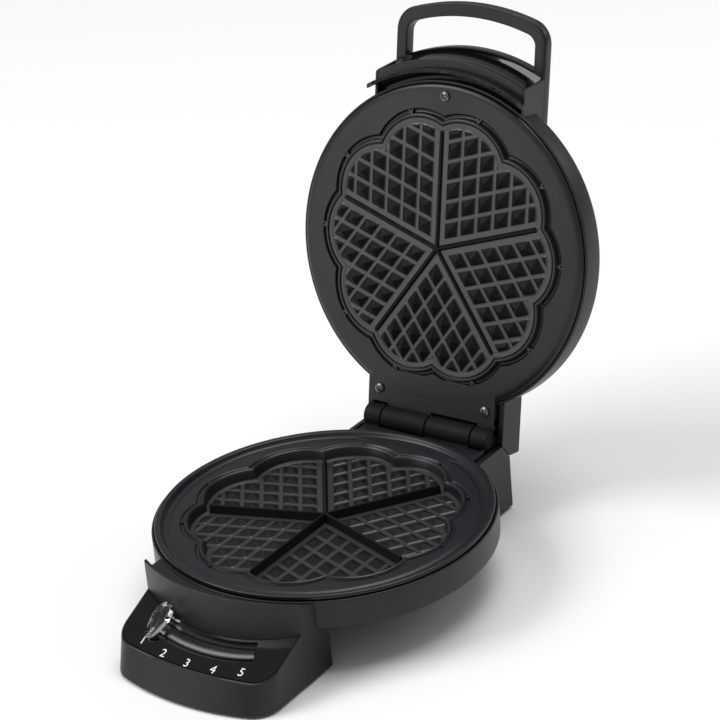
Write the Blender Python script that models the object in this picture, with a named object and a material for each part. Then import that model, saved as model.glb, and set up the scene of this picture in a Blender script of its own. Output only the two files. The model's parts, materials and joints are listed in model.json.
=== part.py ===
"""Five-heart waffle maker, open, as separate sub-parts.

Plate frame: metres, +Z up, front (controls and handle) at -Y, hinge at +Y.
The model is drawn with the plates' centre at x = y = 0 and then shifted by PLATE_Y, so that the
open machine stands centred on the origin. The lid is drawn closed and turned open by its empty.
"""
import math

import bmesh
import bpy
from mathutils import Matrix, Vector

# Placing
PLATE_Y = -0.02702
PARTING_Z = 0.0525
OPEN_ANGLE = math.radians(101.9)
HINGE_Y = 0.119
GAP = 0.0003

# Plates
PLATE_R = 0.105
SKIRT_R = 0.103
FLANGE = 0.0022
LAND_LOWER = -0.0026
LAND_UPPER = 0.0003
LIP_R = 0.1016
HUB_R = 0.0925
POCKET_FLOOR = -0.0091
LOWER_BACK = -0.0113
LOWER_RIM_BACK = -0.006
UPPER_BACK = 0.0058
ISLAND_FACE = -0.0014

# Heart pattern; the first axis is a hair off square, so that no cut is exactly coplanar
FIRST_AXIS = math.radians(90.001)
SECTOR = math.radians(36)
LOBE_SPLAY = math.radians(19.5)
LOBE_CENTRE = 0.0525
LOBE_R = 0.0319
HEART_SIDE = 0.0017
CELL_EDGE = 0.005
CELL_LOBE_R = 0.0285
PITCH = 0.0122
CHANNEL = 0.0015
FIRST_LINE = 0.0037
UPPER_PYRAMID = 0.0038
LOWER_PYRAMID = 0.0026

# Hinge
KNUCKLE_R = 0.0081
BARREL_X = 0.0475
SIDE_KNUCKLE = 0.0126
PIN_R = 0.0025
TONGUE_X = 0.0475

# Housings
SHELL_R = 0.107
SHELL_WALL = 0.0017
SHELL_EDGE = 0.0027
SHELL_DEPTH = 0.020
LID_DEPTH = 0.019
FLOOR = 0.002
BLOCK_X = 0.0525
BLOCK_REAR = 0.131
BLOCK_TOP = 0.0044
LID_BLOCK_HEIGHT = 0.026
STOP_LEAN = math.radians(39)

# Control box
BOX_X = 0.0572
BOX_REAR = -0.080
BASE_Z = -0.051
WALL = 0.0022
LIP_OUTER = 0.1197
LIP_INNER = 0.1177
LIP_TOP = 0.0032
SHELF = -0.0032
FRONT_R = 0.155
PANEL_FRONT = 0.1445
PANEL_FRONT_R = 0.33
BOX_CORNER = 0.014
PANEL_SLOPE = math.atan(0.445)
PANEL_MID = (-0.1281, -0.0266)
PANEL_THICK = 0.0022

# Temperature slider
ARC_R = 0.1173
SLOT_HALF = 0.0070
SLOT_ANGLE = math.radians(18.0)
RAIL_HALF = 0.0031
KNOB_ANGLE = math.radians(16.2)
PIVOT_V = 0.033
ARM_RATIO = 3.03

# Lid front box and handle
LID_BOX_X = 0.0556
LID_BOX_R = 0.1202
LID_BOX_FLARE_R = 0.1255
LID_BOX_BOTTOM = 0.0035
HANDLE_Z = 0.026
HANDLE_THICK = 0.009
HANDLE_R = 0.1538
HANDLE_INNER_R = 0.1447
OPENING_X = 0.0476
CREST_R = 0.126
HANDLE_SCREW_X = (-0.044, 0.044)
HANDLE_SCREW_Y = -0.1085

SCREWS = [(0.0406, 0.1004), (-0.0406, 0.1004), (0.0, -0.0975)]
LOWER_SCREWS = [(0.0406, 0.078), (-0.0406, 0.078), (-0.0675, -0.0572), (0.0675, -0.0572)]


# ---------------------------------------------------------------- helpers
def clear_scene():
    for item in list(bpy.data.objects):
        bpy.data.objects.remove(item)


def material(name, colour, roughness, metallic=0.0, transmission=0.0):
    mat = bpy.data.materials.get(name)
    if mat:
        return mat
    mat = bpy.data.materials.new(name)
    mat.use_nodes = True
    shader = mat.node_tree.nodes["Principled BSDF"]
    shader.inputs["Base Color"].default_value = (*colour, 1)
    shader.inputs["Roughness"].default_value = roughness
    shader.inputs["Metallic"].default_value = metallic
    shader.inputs["Transmission Weight"].default_value = transmission
    mat.diffuse_color = (*colour, 1)
    return mat


def finishes():
    return {
        "shell": material("black_shell", (0.018, 0.019, 0.020), 0.45),
        "gloss": material("black_gloss", (0.006, 0.006, 0.007), 0.08),
        "coat": material("non_stick_coating", (0.03, 0.031, 0.033), 0.4, 0.3),
        "steel": material("steel", (0.6, 0.59, 0.56), 0.3, 1.0),
        "clear": material("clear_plastic", (0.95, 0.96, 0.97), 0.05, 0.0, 0.9),
        "rubber": material("rubber", (0.02, 0.02, 0.02), 0.8),
        "inner": material("inner_plastic", (0.75, 0.73, 0.68), 0.5),
        "lamp": material("lamp_lens", (0.8, 0.15, 0.05), 0.2, 0.0, 0.5),
    }


def new_object(name, bm, mat, parent=None, offset=(0, 0, 0)):
    """An object from bm; its origin is moved to `offset`, which its parent's place then undoes."""
    bmesh.ops.translate(bm, verts=bm.verts, vec=-Vector(offset))
    bmesh.ops.recalc_face_normals(bm, faces=bm.faces)
    mesh = bpy.data.meshes.new(name)
    bm.to_mesh(mesh)
    bm.free()
    mesh.materials.append(mat)
    mesh.shade_smooth()
    mesh.set_sharp_from_angle(angle=math.radians(30))
    thing = bpy.data.objects.new(name, mesh)
    bpy.context.collection.objects.link(thing)
    thing.parent = parent
    return thing


def loft(rings):
    """A closed body through rings of equally many points, capped at both ends."""
    bm = bmesh.new()
    loops = [[bm.verts.new(p) for p in ring] for ring in rings]
    count = len(rings[0])
    for low, high in zip(loops, loops[1:]):
        for i in range(count):
            j = (i + 1) % count
            bm.faces.new((low[i], low[j], high[j], high[i]))
    bm.faces.new(list(reversed(loops[0])))
    bm.faces.new(loops[-1])
    return bm


def prism(outline, z0, z1):
    return loft([[(x, y, z0) for x, y in outline], [(x, y, z1) for x, y in outline]])


def block(x0, x1, y0, y1, z0, z1):
    return prism([(x0, y0), (x1, y0), (x1, y1), (x0, y1)], z0, z1)


def lathe(profile, segments=72):
    """A turned body about Z: the profile runs from axis to axis, or is a closed ring off the axis."""
    bm = bmesh.new()
    on_axis = profile[0][0] == 0
    columns = []
    ends = {}
    for s in range(segments):
        angle = 2 * math.pi * s / segments
        column = []
        for i, (r, z) in enumerate(profile):
            if r == 0:
                if i not in ends:
                    ends[i] = bm.verts.new((0, 0, z))
                column.append(ends[i])
            else:
                column.append(bm.verts.new((r * math.cos(angle), r * math.sin(angle), z)))
        columns.append(column)
    steps = len(profile) - 1 if on_axis else len(profile)
    for s in range(segments):
        here = columns[s]
        there = columns[(s + 1) % segments]
        for i in range(steps):
            j = (i + 1) % len(profile)
            corners = [here[i], here[j], there[j], there[i]]
            corners = [v for n, v in enumerate(corners) if v not in corners[:n]]
            bm.faces.new(corners)
    return bm


def rod(start, end, radius, sides=20):
    axis = Vector(end) - Vector(start)
    turn = axis.to_track_quat("Z", "Y").to_matrix().to_4x4()
    bm = lathe([(0, 0), (radius, 0), (radius, axis.length), (0, axis.length)], sides)
    bmesh.ops.transform(bm, matrix=Matrix.Translation(Vector(start)) @ turn, verts=bm.verts)
    return bm


def merged(bodies):
    """Several bodies in one bmesh, used only as a cutter or a union operand."""
    whole = bmesh.new()
    for bm in bodies:
        mesh = bpy.data.meshes.new("scratch")
        bm.to_mesh(mesh)
        bm.free()
        whole.from_mesh(mesh)
        bpy.data.meshes.remove(mesh)
    return whole


def combine(thing, bm, operation):
    """Adds a Boolean modifier whose operand is drawn in the same space as the thing's mesh."""
    bmesh.ops.recalc_face_normals(bm, faces=bm.faces)
    mesh = bpy.data.meshes.new(f"{thing.name}_operand")
    bm.to_mesh(mesh)
    bm.free()
    operand = bpy.data.objects.new(f"{thing.name}_operand", mesh)
    bpy.context.collection.objects.link(operand)
    operand.parent = thing
    operand.hide_render = True
    operand.display_type = "WIRE"
    modifier = thing.modifiers.new(operation.title(), "BOOLEAN")
    modifier.operation = operation
    modifier.object = operand
    modifier.solver = "EXACT"
    modifier.use_self = False
    return thing


def cut(thing, *bodies):
    for bm in bodies:
        combine(thing, bm, "DIFFERENCE")
    return thing


def join(thing, *bodies):
    for bm in bodies:
        combine(thing, bm, "UNION")
    return thing


def arc(radius, x_from, x_to, count):
    """Points on the front arc of a circle about the plate's centre, from one x to another."""
    a = math.asin(x_from / radius)
    b = math.asin(x_to / radius)
    angles = [a + (b - a) * i / (count - 1) for i in range(count)]
    return [(radius * math.sin(t), -radius * math.cos(t)) for t in angles]


def moved(bm, vector):
    bmesh.ops.translate(bm, verts=bm.verts, vec=Vector(vector))
    return bm


# ---------------------------------------------------------------- heart pattern
def heart(k, side, lobe_r, count=30):
    """Outline of heart k: two straight sides `side` from the sector's edges, and two round lobes."""
    def reach(phi):
        lobes = []
        for splay in (-LOBE_SPLAY, LOBE_SPLAY):
            off = phi - splay
            under = lobe_r ** 2 - (LOBE_CENTRE * math.sin(off)) ** 2
            if under > 0:
                lobes.append(LOBE_CENTRE * math.cos(off) + math.sqrt(under))
        return max(lobes)

    limit = SECTOR
    for _ in range(30):
        limit = SECTOR - math.asin(side / reach(limit))
    axis = FIRST_AXIS + math.radians(72 * k)
    tip = side / math.sin(SECTOR)
    points = [(tip * math.cos(axis), tip * math.sin(axis))]
    for i in range(count + 1):
        phi = -limit + 2 * limit * i / count
        r = reach(phi)
        points.append((r * math.cos(axis + phi), r * math.sin(axis + phi)))
    return points


def cells(k):
    """Corner points of the whole rhombic cells of heart k, between channels parallel to its sides."""
    axis = FIRST_AXIS + math.radians(72 * k)
    along = [Vector((math.cos(axis + s * SECTOR), math.sin(axis + s * SECTOR))) for s in (1, -1)]
    stretch = 1 / math.sin(2 * SECTOR)
    found = []
    for i in range(7):
        for j in range(7):
            low = [FIRST_LINE + PITCH * n + CHANNEL / 2 for n in (i, j)]
            high = [FIRST_LINE + PITCH * (n + 1) - CHANNEL / 2 for n in (i, j)]
            low = [max(v, CELL_EDGE) for v in low]
            ring = [(low[0], low[1]), (high[0], low[1]), (high[0], high[1]), (low[0], high[1])]
            corners = [(along[1] * a + along[0] * b) * stretch for a, b in ring]
            centres = [
                Vector((math.cos(axis + s * LOBE_SPLAY), math.sin(axis + s * LOBE_SPLAY))) * LOBE_CENTRE
                for s in (1, -1)
            ]
            if all(min((c - m).length for m in centres) < CELL_LOBE_R or c.length < LOBE_CENTRE
                   for c in corners):
                found.append(corners)
    return found


def pyramids(foot_z, apex_z):
    """One pyramid on every whole cell, its foot sunk a little into the floor."""
    bodies = []
    for k in range(5):
        for corners in cells(k):
            bm = bmesh.new()
            middle = sum(corners, Vector((0, 0))) / 4
            foot = [bm.verts.new((c.x, c.y, foot_z)) for c in corners]
            apex = bm.verts.new((middle.x, middle.y, apex_z))
            bm.faces.new(foot)
            for n in range(4):
                bm.faces.new((foot[n], foot[(n + 1) % 4], apex))
            bmesh.ops.recalc_face_normals(bm, faces=bm.faces)
            bodies.append(bm)
    return merged(bodies)


# ---------------------------------------------------------------- plates
def knuckle(x0, x1):
    return rod((x0, HINGE_Y, 0), (x1, HINGE_Y, 0), KNUCKLE_R, 32)


def knuckle_arm(x0, x1, z0, z1):
    """Ties a knuckle to its tongue."""
    return block(x0, x1, 0.104, HINGE_Y - 0.004, z0, z1)


def lower_plate(mats):
    profile = [
        (0, LOWER_BACK), (HUB_R, LOWER_BACK), (HUB_R, LOWER_RIM_BACK), (SKIRT_R, LOWER_RIM_BACK),
        (SKIRT_R, -FLANGE), (PLATE_R, -FLANGE), (PLATE_R, -0.0006), (PLATE_R - 0.0006, 0),
        (LIP_R, 0), (LIP_R - 0.0009, LAND_LOWER), (0, LAND_LOWER),
    ]
    plate = new_object("lower_plate", lathe(profile), mats["coat"])
    first = (-BARREL_X, -BARREL_X + SIDE_KNUCKLE)
    second = (GAP, BARREL_X - SIDE_KNUCKLE - 2 * GAP)
    tongue = block(-TONGUE_X, TONGUE_X, 0.085, 0.1095, LAND_LOWER - 0.0039, LAND_LOWER - 0.0002)
    join(plate, tongue)
    for x0, x1 in (first, second):
        join(plate, knuckle_arm(x0, x1, LAND_LOWER - 0.0039, LAND_LOWER - 0.0004), knuckle(x0, x1))
    cut(plate, merged([prism(heart(k, HEART_SIDE, LOBE_R), POCKET_FLOOR, 0.002) for k in range(5)]))
    join(plate, pyramids(POCKET_FLOOR - 0.0004, POCKET_FLOOR + LOWER_PYRAMID))
    bore = rod((-0.06, HINGE_Y, 0), (0.06, HINGE_Y, 0), PIN_R + GAP)
    holes = [rod((x, y, -0.02), (x, y, -0.0062), 0.0019, 16) for x, y in LOWER_SCREWS]
    return cut(plate, bore, merged(holes))


def upper_plate(mats, lid):
    profile = [
        (0, LAND_UPPER), (PLATE_R - 0.0008, LAND_UPPER), (PLATE_R, LAND_UPPER + 0.0008),
        (PLATE_R, 0.0025), (SKIRT_R, 0.0025), (SKIRT_R, UPPER_BACK), (0, UPPER_BACK),
    ]
    plate = new_object("upper_plate", lathe(profile), mats["coat"], lid, (0, HINGE_Y, 0))
    first = (-BARREL_X + SIDE_KNUCKLE + 2 * GAP, -GAP)
    second = (BARREL_X - SIDE_KNUCKLE, BARREL_X)
    shift = (0, -HINGE_Y, 0)
    top = UPPER_BACK - 0.0003
    join(plate, moved(block(-TONGUE_X, TONGUE_X, 0.085, 0.1095, LAND_UPPER + 0.0002, top), shift))
    for x0, x1 in (first, second):
        join(plate, moved(knuckle_arm(x0, x1, LAND_UPPER + 0.0004, top), shift))
        join(plate, moved(knuckle(x0, x1), shift))
    slabs = [prism(heart(k, HEART_SIDE, LOBE_R), ISLAND_FACE, 0.002) for k in range(5)]
    join(plate, moved(merged(slabs), shift))
    join(plate, moved(pyramids(ISLAND_FACE + 0.0007, ISLAND_FACE - UPPER_PYRAMID), shift))
    bore = rod((-0.06, 0, 0), (0.06, 0, 0), PIN_R + GAP)
    holes = [rod((x, y, -0.01), (x, y, 0.02), 0.0019, 16) for x, y in SCREWS]
    return cut(plate, bore, moved(merged(holes), shift))


def plate_screw(name, x, y, head_z, up, length, mats, parent=None, offset=(0, 0, 0)):
    """Pan-head screw: `up` is +1 where its head faces up."""
    h = head_z + up * GAP
    profile = [
        (0, h - up * length), (0.0015, h - up * length), (0.0015, h), (0.0032, h),
        (0.0032, h + up * 0.0009), (0.0022, h + up * 0.0018), (0, h + up * 0.002),
    ]
    bm = moved(lathe(profile, 16), (x, y, 0))
    return new_object(name, bm, mats["steel"], parent, offset)


# ---------------------------------------------------------------- base
def box_outline(front, front_r, inset=0.0, rear=-0.100, half=BOX_X, corner=BOX_CORNER):
    """Plan of the control box: straight sides and rear, a bowed front, round front corners."""
    x = half - inset
    y_front = -(front - inset)
    bow = y_front + front_r
    corner_r = corner - inset
    cx = x - corner_r
    cy = bow - math.sqrt((front_r - corner_r) ** 2 - cx ** 2)
    start = math.atan2(cy - bow, cx)
    points = [(x, rear), (-x, rear)]
    for i in range(9):
        t = math.pi - start * i / 8
        points.append((-cx + corner_r * math.cos(t), cy + corner_r * math.sin(t)))
    for i in range(1, 12):
        t = -math.pi - start + (math.pi + 2 * start) * i / 12
        points.append((front_r * math.cos(t), bow + front_r * math.sin(t)))
    for i in range(9):
        t = start - start * i / 8
        points.append((cx + corner_r * math.cos(t), cy + corner_r * math.sin(t)))
    return points


def panel_z(y):
    """Height of the panel's plane at y."""
    return PANEL_MID[1] + math.tan(PANEL_SLOPE) * (y - PANEL_MID[0])


def on_plane(outline, lift):
    return [(x, y, panel_z(y) + lift) for x, y in outline]


def box_body(inset, bottom, lift):
    """The control box between its foot outline and its slanted top."""
    low = box_outline(FRONT_R, FRONT_R, inset)
    high = box_outline(PANEL_FRONT, PANEL_FRONT_R, inset)
    return loft([[(x, y, bottom) for x, y in low], on_plane(high, lift)])


def front_sector(r_in, r_out, half, z0, z1, count=25):
    outline = arc(r_out, -half, half, count) + arc(r_in, half, -half, count)
    return prism(outline, z0, z1)


def rear_block_side(top, bottom, sign):
    """Side view of a rear block: `sign` is -1 for the base and +1 for the lid."""
    normal = (math.cos(STOP_LEAN), -sign * math.sin(STOP_LEAN))
    reach = -GAP / 2

    def y_at(z):
        return HINGE_Y + (reach - normal[1] * z) / normal[0]

    def z_at(y):
        return (reach - normal[0] * (y - HINGE_Y)) / normal[1]

    near = sign * top
    return [(0.092, bottom), (0.092, near), (y_at(near), near), (BLOCK_REAR, z_at(BLOCK_REAR)),
            (BLOCK_REAR, bottom)]


def across(side, half):
    """A side view extruded along X."""
    return loft([[(-half, y, z) for y, z in side], [(half, y, z) for y, z in side]])


def block_hollow(r_front, rear, half, z0, z1):
    """Inside of a rear block, behind an arc about the plate's centre."""
    front = [(-x, -y) for x, y in arc(r_front, -half, half, 17)]
    return prism(front + [(-half, rear), (half, rear)], z0, z1)


def base_housing(mats):
    bottom = -SHELL_EDGE - SHELL_DEPTH
    r = SHELL_R
    cup = [(0, bottom), (r - 0.002, bottom), (r - 0.0006, bottom + 0.0006), (r, bottom + 0.002),
           (r, -SHELL_EDGE), (0, -SHELL_EDGE)]
    base = new_object("base_housing", lathe(cup), mats["shell"])
    upright = [(BOX_X, BOX_REAR), (-BOX_X, BOX_REAR)] + arc(LIP_OUTER, -BOX_X, BOX_X, 33)
    join(base, prism(upright, BASE_Z, LIP_TOP))
    join(base, box_body(0, BASE_Z, 0))
    join(base, across(rear_block_side(BLOCK_TOP, BASE_Z, -1), BLOCK_X))
    wall = r - SHELL_WALL
    inside = [(0, bottom + FLOOR), (wall, bottom + FLOOR), (wall, -SHELL_EDGE), (r + GAP, -SHELL_EDGE),
              (r + GAP, SHELF), (LIP_INNER, SHELF), (LIP_INNER, 0.02), (0, 0.02)]
    under = bottom - 0.0003
    cut(base, lathe(inside))
    cut(base, block(-BARREL_X - GAP * 2, BARREL_X + GAP * 2, 0.088, 0.1225, -0.0072, 0.03))
    cut(base, rod((-BARREL_X - GAP * 2, HINGE_Y, 0), (BARREL_X + GAP * 2, HINGE_Y, 0), 0.0092, 32))
    cut(base, block_hollow(0.1125, BLOCK_REAR - WALL, BLOCK_X - WALL, under + 0.0001, -0.012))
    low = [(-BLOCK_X + WALL, 0.0942), (BLOCK_X - WALL, 0.0942),
           (BLOCK_X - WALL, BLOCK_REAR - WALL), (-BLOCK_X + WALL, BLOCK_REAR - WALL)]
    cut(base, prism(low, BASE_Z - 0.01, under))
    foot_room = box_outline(FRONT_R, FRONT_R, WALL, rear=BOX_REAR + WALL)
    cut(base, prism(foot_room, BASE_Z - 0.01, BASE_Z + 0.0026))
    cut(base, box_body(WALL, BASE_Z, -0.005))
    half = BOX_X - WALL
    rear_room = [(half, BOX_REAR + WALL), (-half, BOX_REAR + WALL)] + arc(0.115, -half, half, 25)
    cut(base, prism(rear_room, BASE_Z - 0.01, -0.036))
    under_cup = [(half, BOX_REAR + WALL), (-half, BOX_REAR + WALL)] + arc(0.1095, -half, half, 25)
    cut(base, prism(under_cup, -0.0365, under))
    cut(base, front_sector(0.1092, LIP_INNER - 0.0002, half, -0.0365, SHELF - WALL))
    seat = panel_plan(0.0011, LIP_OUTER + 0.0002)
    cut(base, loft([on_plane(seat, -PANEL_THICK - GAP), on_plane(seat, 0.03)]))
    room = panel_plan(WALL + 0.0006, LIP_OUTER + 0.0005)
    cut(base, loft([on_plane(room, -0.014), on_plane(room, 0.03)]))
    join(base, merged([rod((x, y, bottom + 0.0005), (x, y, LOWER_BACK - GAP), 0.004)
                       for x, y in LOWER_SCREWS]))
    pillars = [rod((s * 0.046, -0.090, -0.0485), (s * 0.046, -0.090, under + 0.001), 0.0035)
               for s in (-1, 1)]
    pillars += [rod((s * 0.036, 0.121, -0.0485), (s * 0.036, 0.121, -0.0115), 0.0035) for s in (-1, 1)]
    join(base, merged(pillars))
    holes = [rod((x, y, -0.03), (x, y, 0.0), 0.0018, 16) for x, y in LOWER_SCREWS]
    holes += [rod((s * 0.046, -0.090, -0.06), (s * 0.046, -0.090, -0.038), 0.0015, 16) for s in (-1, 1)]
    holes += [rod((s * 0.036, 0.121, -0.06), (s * 0.036, 0.121, -0.038), 0.0015, 16) for s in (-1, 1)]
    cut(base, merged(holes))
    cut(base, rod((0, BLOCK_REAR - 0.004, -0.036), (0, BLOCK_REAR + 0.004, -0.036), 0.0062))
    cut(base, rod((0, 0.100, -0.0225), (0, 0.120, -0.0225), 0.004, 16))
    return base


def panel_plan(inset, rear_r):
    """Plan of the panel: the box's top outline, its rear edge on an arc of radius rear_r."""
    outline = box_outline(PANEL_FRONT, PANEL_FRONT_R, inset)
    half = BOX_X - inset
    return outline[2:] + [(x, y) for x, y in arc(rear_r, half, -half, 25)]


def panel_axes():
    """Directions across, up the slope and out of the panel."""
    lean = PANEL_SLOPE
    return Vector((1, 0, 0)), Vector((0, math.cos(lean), math.sin(lean))), Vector(
        (0, -math.sin(lean), math.cos(lean)))


def slider_centre():
    _, up, _ = panel_axes()
    return Vector((0, *PANEL_MID)) + up * ARC_R


def in_panel(bm, centre=None):
    """Takes a body drawn with X across, Y up the slope and Z out of the panel to its place."""
    across_x, up, out = panel_axes()
    turn = Matrix((across_x, up, out)).transposed().to_4x4()
    spot = slider_centre() if centre is None else centre
    bmesh.ops.transform(bm, matrix=Matrix.Translation(spot) @ turn, verts=bm.verts)
    return bm


def arc_band(r_in, r_out, half_angle, z0, z1, middle=0.0, count=21):
    """A flat band on the slider's arc, drawn in the panel's own directions."""
    def ring(radius, a, b):
        angles = [a + (b - a) * i / (count - 1) for i in range(count)]
        return [(radius * math.sin(t), -radius * math.cos(t)) for t in angles]
    a, b = middle - half_angle, middle + half_angle
    return prism(ring(r_out, a, b) + ring(r_in, b, a), z0, z1)


def control_panel(mats):
    plan = panel_plan(0.0011 + GAP, LIP_OUTER + 0.0002 + GAP)
    panel = new_object("control_panel", loft([on_plane(plan, -PANEL_THICK), on_plane(plan, 0)]),
                       mats["gloss"])
    slot = arc_band(ARC_R - SLOT_HALF, ARC_R + SLOT_HALF, SLOT_ANGLE, -0.006, 0.006)
    return cut(panel, in_panel(slot))


def slider_rail(mats):
    def ring(t, radius, z):
        return (radius * math.sin(t), -radius * math.cos(t), z)
    rings = []
    for i in range(25):
        t = math.radians(-17.5) + math.radians(35) * i / 24
        crown = [math.radians(a) for a in range(0, 181, 30)]
        edge = [(ARC_R + RAIL_HALF * math.cos(a), -0.0026 + 0.0019 * math.sin(a)) for a in crown]
        rings.append([ring(t, r, z) for r, z in edge + [(ARC_R - RAIL_HALF, -0.0042),
                                                       (ARC_R + RAIL_HALF, -0.0042)]])
    return new_object("slider_rail", in_panel(loft(rings)), mats["gloss"])


def temperature_knob(mats, slider):
    """Clear pointer: a rounded wedge lying along the scale's radius, with a stem through the slot."""
    stations = [(-0.0110, 0.0016, 0.0070, 0.0092), (-0.0098, 0.0034, 0.0052, 0.0108),
                (-0.0062, 0.0050, 0.0020, 0.0122), (0.0000, 0.0052, 0.0008, 0.0120),
                (0.0070, 0.0042, 0.0006, 0.0090), (0.0120, 0.0022, 0.0006, 0.0045),
                (0.0138, 0.0008, 0.0006, 0.0018)]
    rings = []
    for along, half, low, high in stations:
        middle = (low + high) / 2
        tall = (high - low) / 2
        ring = []
        for s in range(12):
            t = 2 * math.pi * s / 12
            ring.append((half * math.cos(t), -ARC_R - along, middle + tall * math.sin(t)))
        rings.append(ring)
    knob = new_object("temperature_knob", loft(rings), mats["clear"], slider)
    stem = block(-0.0025, 0.0025, -ARC_R + 0.0035, -ARC_R + 0.0059, -0.0065, 0.004)
    return join(knob, stem)


def slider_carriage(mats, slider):
    half = math.radians(4.5)
    body = arc_band(ARC_R - 0.0085, ARC_R + 0.0060, half, -0.0105, -0.0068)
    carriage = new_object("slider_carriage", body, mats["inner"], slider)
    pin = rod((0, -ARC_R - 0.001, -0.0175), (0, -ARC_R - 0.001, -0.010), 0.0015, 16)
    join(carriage, pin)
    lamp_hole = rod((0.006, -ARC_R + 0.006, -0.02), (0.006, -ARC_R + 0.006, 0), 0.0024, 16)
    return cut(carriage, lamp_hole)


def thermostat_arm(mats, arm):
    """Spindle and forked arm, drawn with the fork towards the slider along -Y."""
    lever = new_object("thermostat_arm", rod((0, 0, -0.0198), (0, 0, -0.0136), 0.003, 20),
                       mats["inner"], arm)
    fork = [(-0.004, 0.004), (0.004, 0.004), (0.0062, -0.020), (0.0062, -0.041), (-0.0062, -0.041),
            (-0.0062, -0.020)]
    join(lever, prism(fork, -0.0165, -0.0145))
    return cut(lever, block(-0.0038, 0.0038, -0.05, -0.0245, -0.02, -0.01))


def thermostat_body(mats):
    _, up, _ = panel_axes()
    pivot = Vector((0, *PANEL_MID)) + up * PIVOT_V
    body = new_object("thermostat_body", in_panel(block(-0.012, 0.012, -0.010, 0.0075, -0.0275, -0.0175),
                                                  pivot), mats["inner"])
    return cut(body, in_panel(rod((0, 0, -0.021), (0, 0, 0), 0.0033, 20), pivot))


def covers(mats):
    low = box_outline(FRONT_R, FRONT_R, WALL + 0.0006, rear=BOX_REAR + WALL + GAP)
    box_cover = new_object("box_cover", prism(low, BASE_Z + 0.0002, BASE_Z + 0.0022), mats["shell"])
    rear = block(-BLOCK_X + WALL + GAP, BLOCK_X - WALL - GAP, 0.0942 + GAP, BLOCK_REAR - WALL - GAP,
                 BASE_Z + 0.0002, BASE_Z + 0.0022)
    rear_cover = new_object("rear_cover", rear, mats["shell"])
    cut(box_cover, merged([rod((s * 0.046, -0.090, -0.06), (s * 0.046, -0.090, 0), 0.0019, 16)
                           for s in (-1, 1)] + [foot_hole(s * 0.040, -0.128) for s in (-1, 1)]))
    cut(rear_cover, merged([rod((s * 0.036, 0.121, -0.06), (s * 0.036, 0.121, 0), 0.0019, 16)
                            for s in (-1, 1)] + [foot_hole(s * 0.040, 0.108) for s in (-1, 1)]))


def foot_hole(x, y):
    return rod((x, y, -0.06), (x, y, -0.04), 0.0024, 16)


def foot(name, x, y, mats):
    bottom = -PARTING_Z
    top = BASE_Z - 0.0001
    profile = [(0, bottom), (0.0052, bottom), (0.006, bottom + 0.0006), (0.006, top),
               (0.0021, top), (0.0021, BASE_Z + 0.0028), (0, BASE_Z + 0.0028)]
    return new_object(name, moved(lathe(profile, 24), (x, y, 0)), mats["rubber"])


def cover_screw(name, x, y, mats):
    h = BASE_Z - 0.0001
    profile = [(0, h - 0.0006), (0.0024, h - 0.0006), (0.0028, h), (0.0014, h), (0.0014, -0.0395),
               (0, -0.0395)]
    return new_object(name, moved(lathe(profile, 16), (x, y, 0)), mats["steel"])


# ---------------------------------------------------------------- heating parts
def element(name, z, mats, parent=None, offset=(0, 0, 0)):
    """Tubular heater: an open ring whose two cold ends run out towards the hinge."""
    radius = 0.060
    tube = 0.003
    start = math.radians(108)
    path = [Vector((math.cos(start) * radius, 0.082, z))]
    for i in range(25):
        t = start + math.radians(324) * i / 24
        path.append(Vector((radius * math.cos(t), radius * math.sin(t), z)))
    path.append(Vector((-path[0].x, 0.082, z)))
    rings = []
    for i, spot in enumerate(path):
        ahead = (path[min(i + 1, len(path) - 1)] - path[max(i - 1, 0)]).normalized()
        side = ahead.cross(Vector((0, 0, 1)))
        rings.append([spot + side * tube * math.cos(a) + Vector((0, 0, tube * math.sin(a)))
                      for a in [2 * math.pi * s / 8 for s in range(8)]])
    return new_object(name, loft(rings), mats["steel"], parent, offset)


def shield(name, z, lift, mats, parent=None, offset=(0, 0, 0)):
    """Thin round heat shield with a turned rim."""
    r = 0.078
    t = 0.0006
    profile = [(0, z), (r - t, z), (r - t, z + lift), (r, z + lift), (r, z - t), (0, z - t)]
    if lift < 0:
        profile = [(0, z), (r - t, z), (r - t, z + lift), (r, z + lift), (r, z + t), (0, z + t)]
    return new_object(name, lathe(profile, 48), mats["steel"], parent, offset)


# ---------------------------------------------------------------- lid
def handle_ring(mats, lid):
    """D-shaped loop with a deck that closes the lid's front box."""
    z0 = HANDLE_Z
    z1 = HANDLE_Z + HANDLE_THICK
    plan = box_outline(HANDLE_R, HANDLE_R, 0, rear=-0.079, half=LID_BOX_X, corner=0.016)
    inner = box_outline(HANDLE_R, HANDLE_R, 0.0008, rear=-0.0798, half=LID_BOX_X, corner=0.016)
    rings = [[(x, y, z0) for x, y in inner], [(x, y, z0 + 0.0012) for x, y in plan],
             [(x, y, z1 - 0.0025) for x, y in plan],
             [(x, y, z1) for x, y in box_outline(HANDLE_R, HANDLE_R, 0.0022, -0.0812, LID_BOX_X, 0.016)]]
    loop = new_object("handle", moved(loft(rings), (0, -HINGE_Y, 0)), mats["shell"], lid)
    opening = box_outline(HANDLE_INNER_R, HANDLE_INNER_R, 0, rear=-0.12, half=OPENING_X, corner=0.008)
    opening = opening[2:] + arc(CREST_R, OPENING_X, -OPENING_X, 25)
    cut(loop, moved(prism(opening, z0 - 0.01, z1 + 0.01), (0, -HINGE_Y, 0)))
    slope = [(-0.093, z1 + 0.001), (-0.070, z1 - 0.0145), (-0.070, z1 + 0.001)]
    cut(loop, moved(across(slope, 0.07), (0, -HINGE_Y, 0)))
    holes = [rod((x, HANDLE_SCREW_Y, z0 - 0.002), (x, HANDLE_SCREW_Y, z1 - 0.002), 0.0015, 16)
             for x in HANDLE_SCREW_X]
    return cut(loop, moved(merged(holes), (0, -HINGE_Y, 0)))


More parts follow.
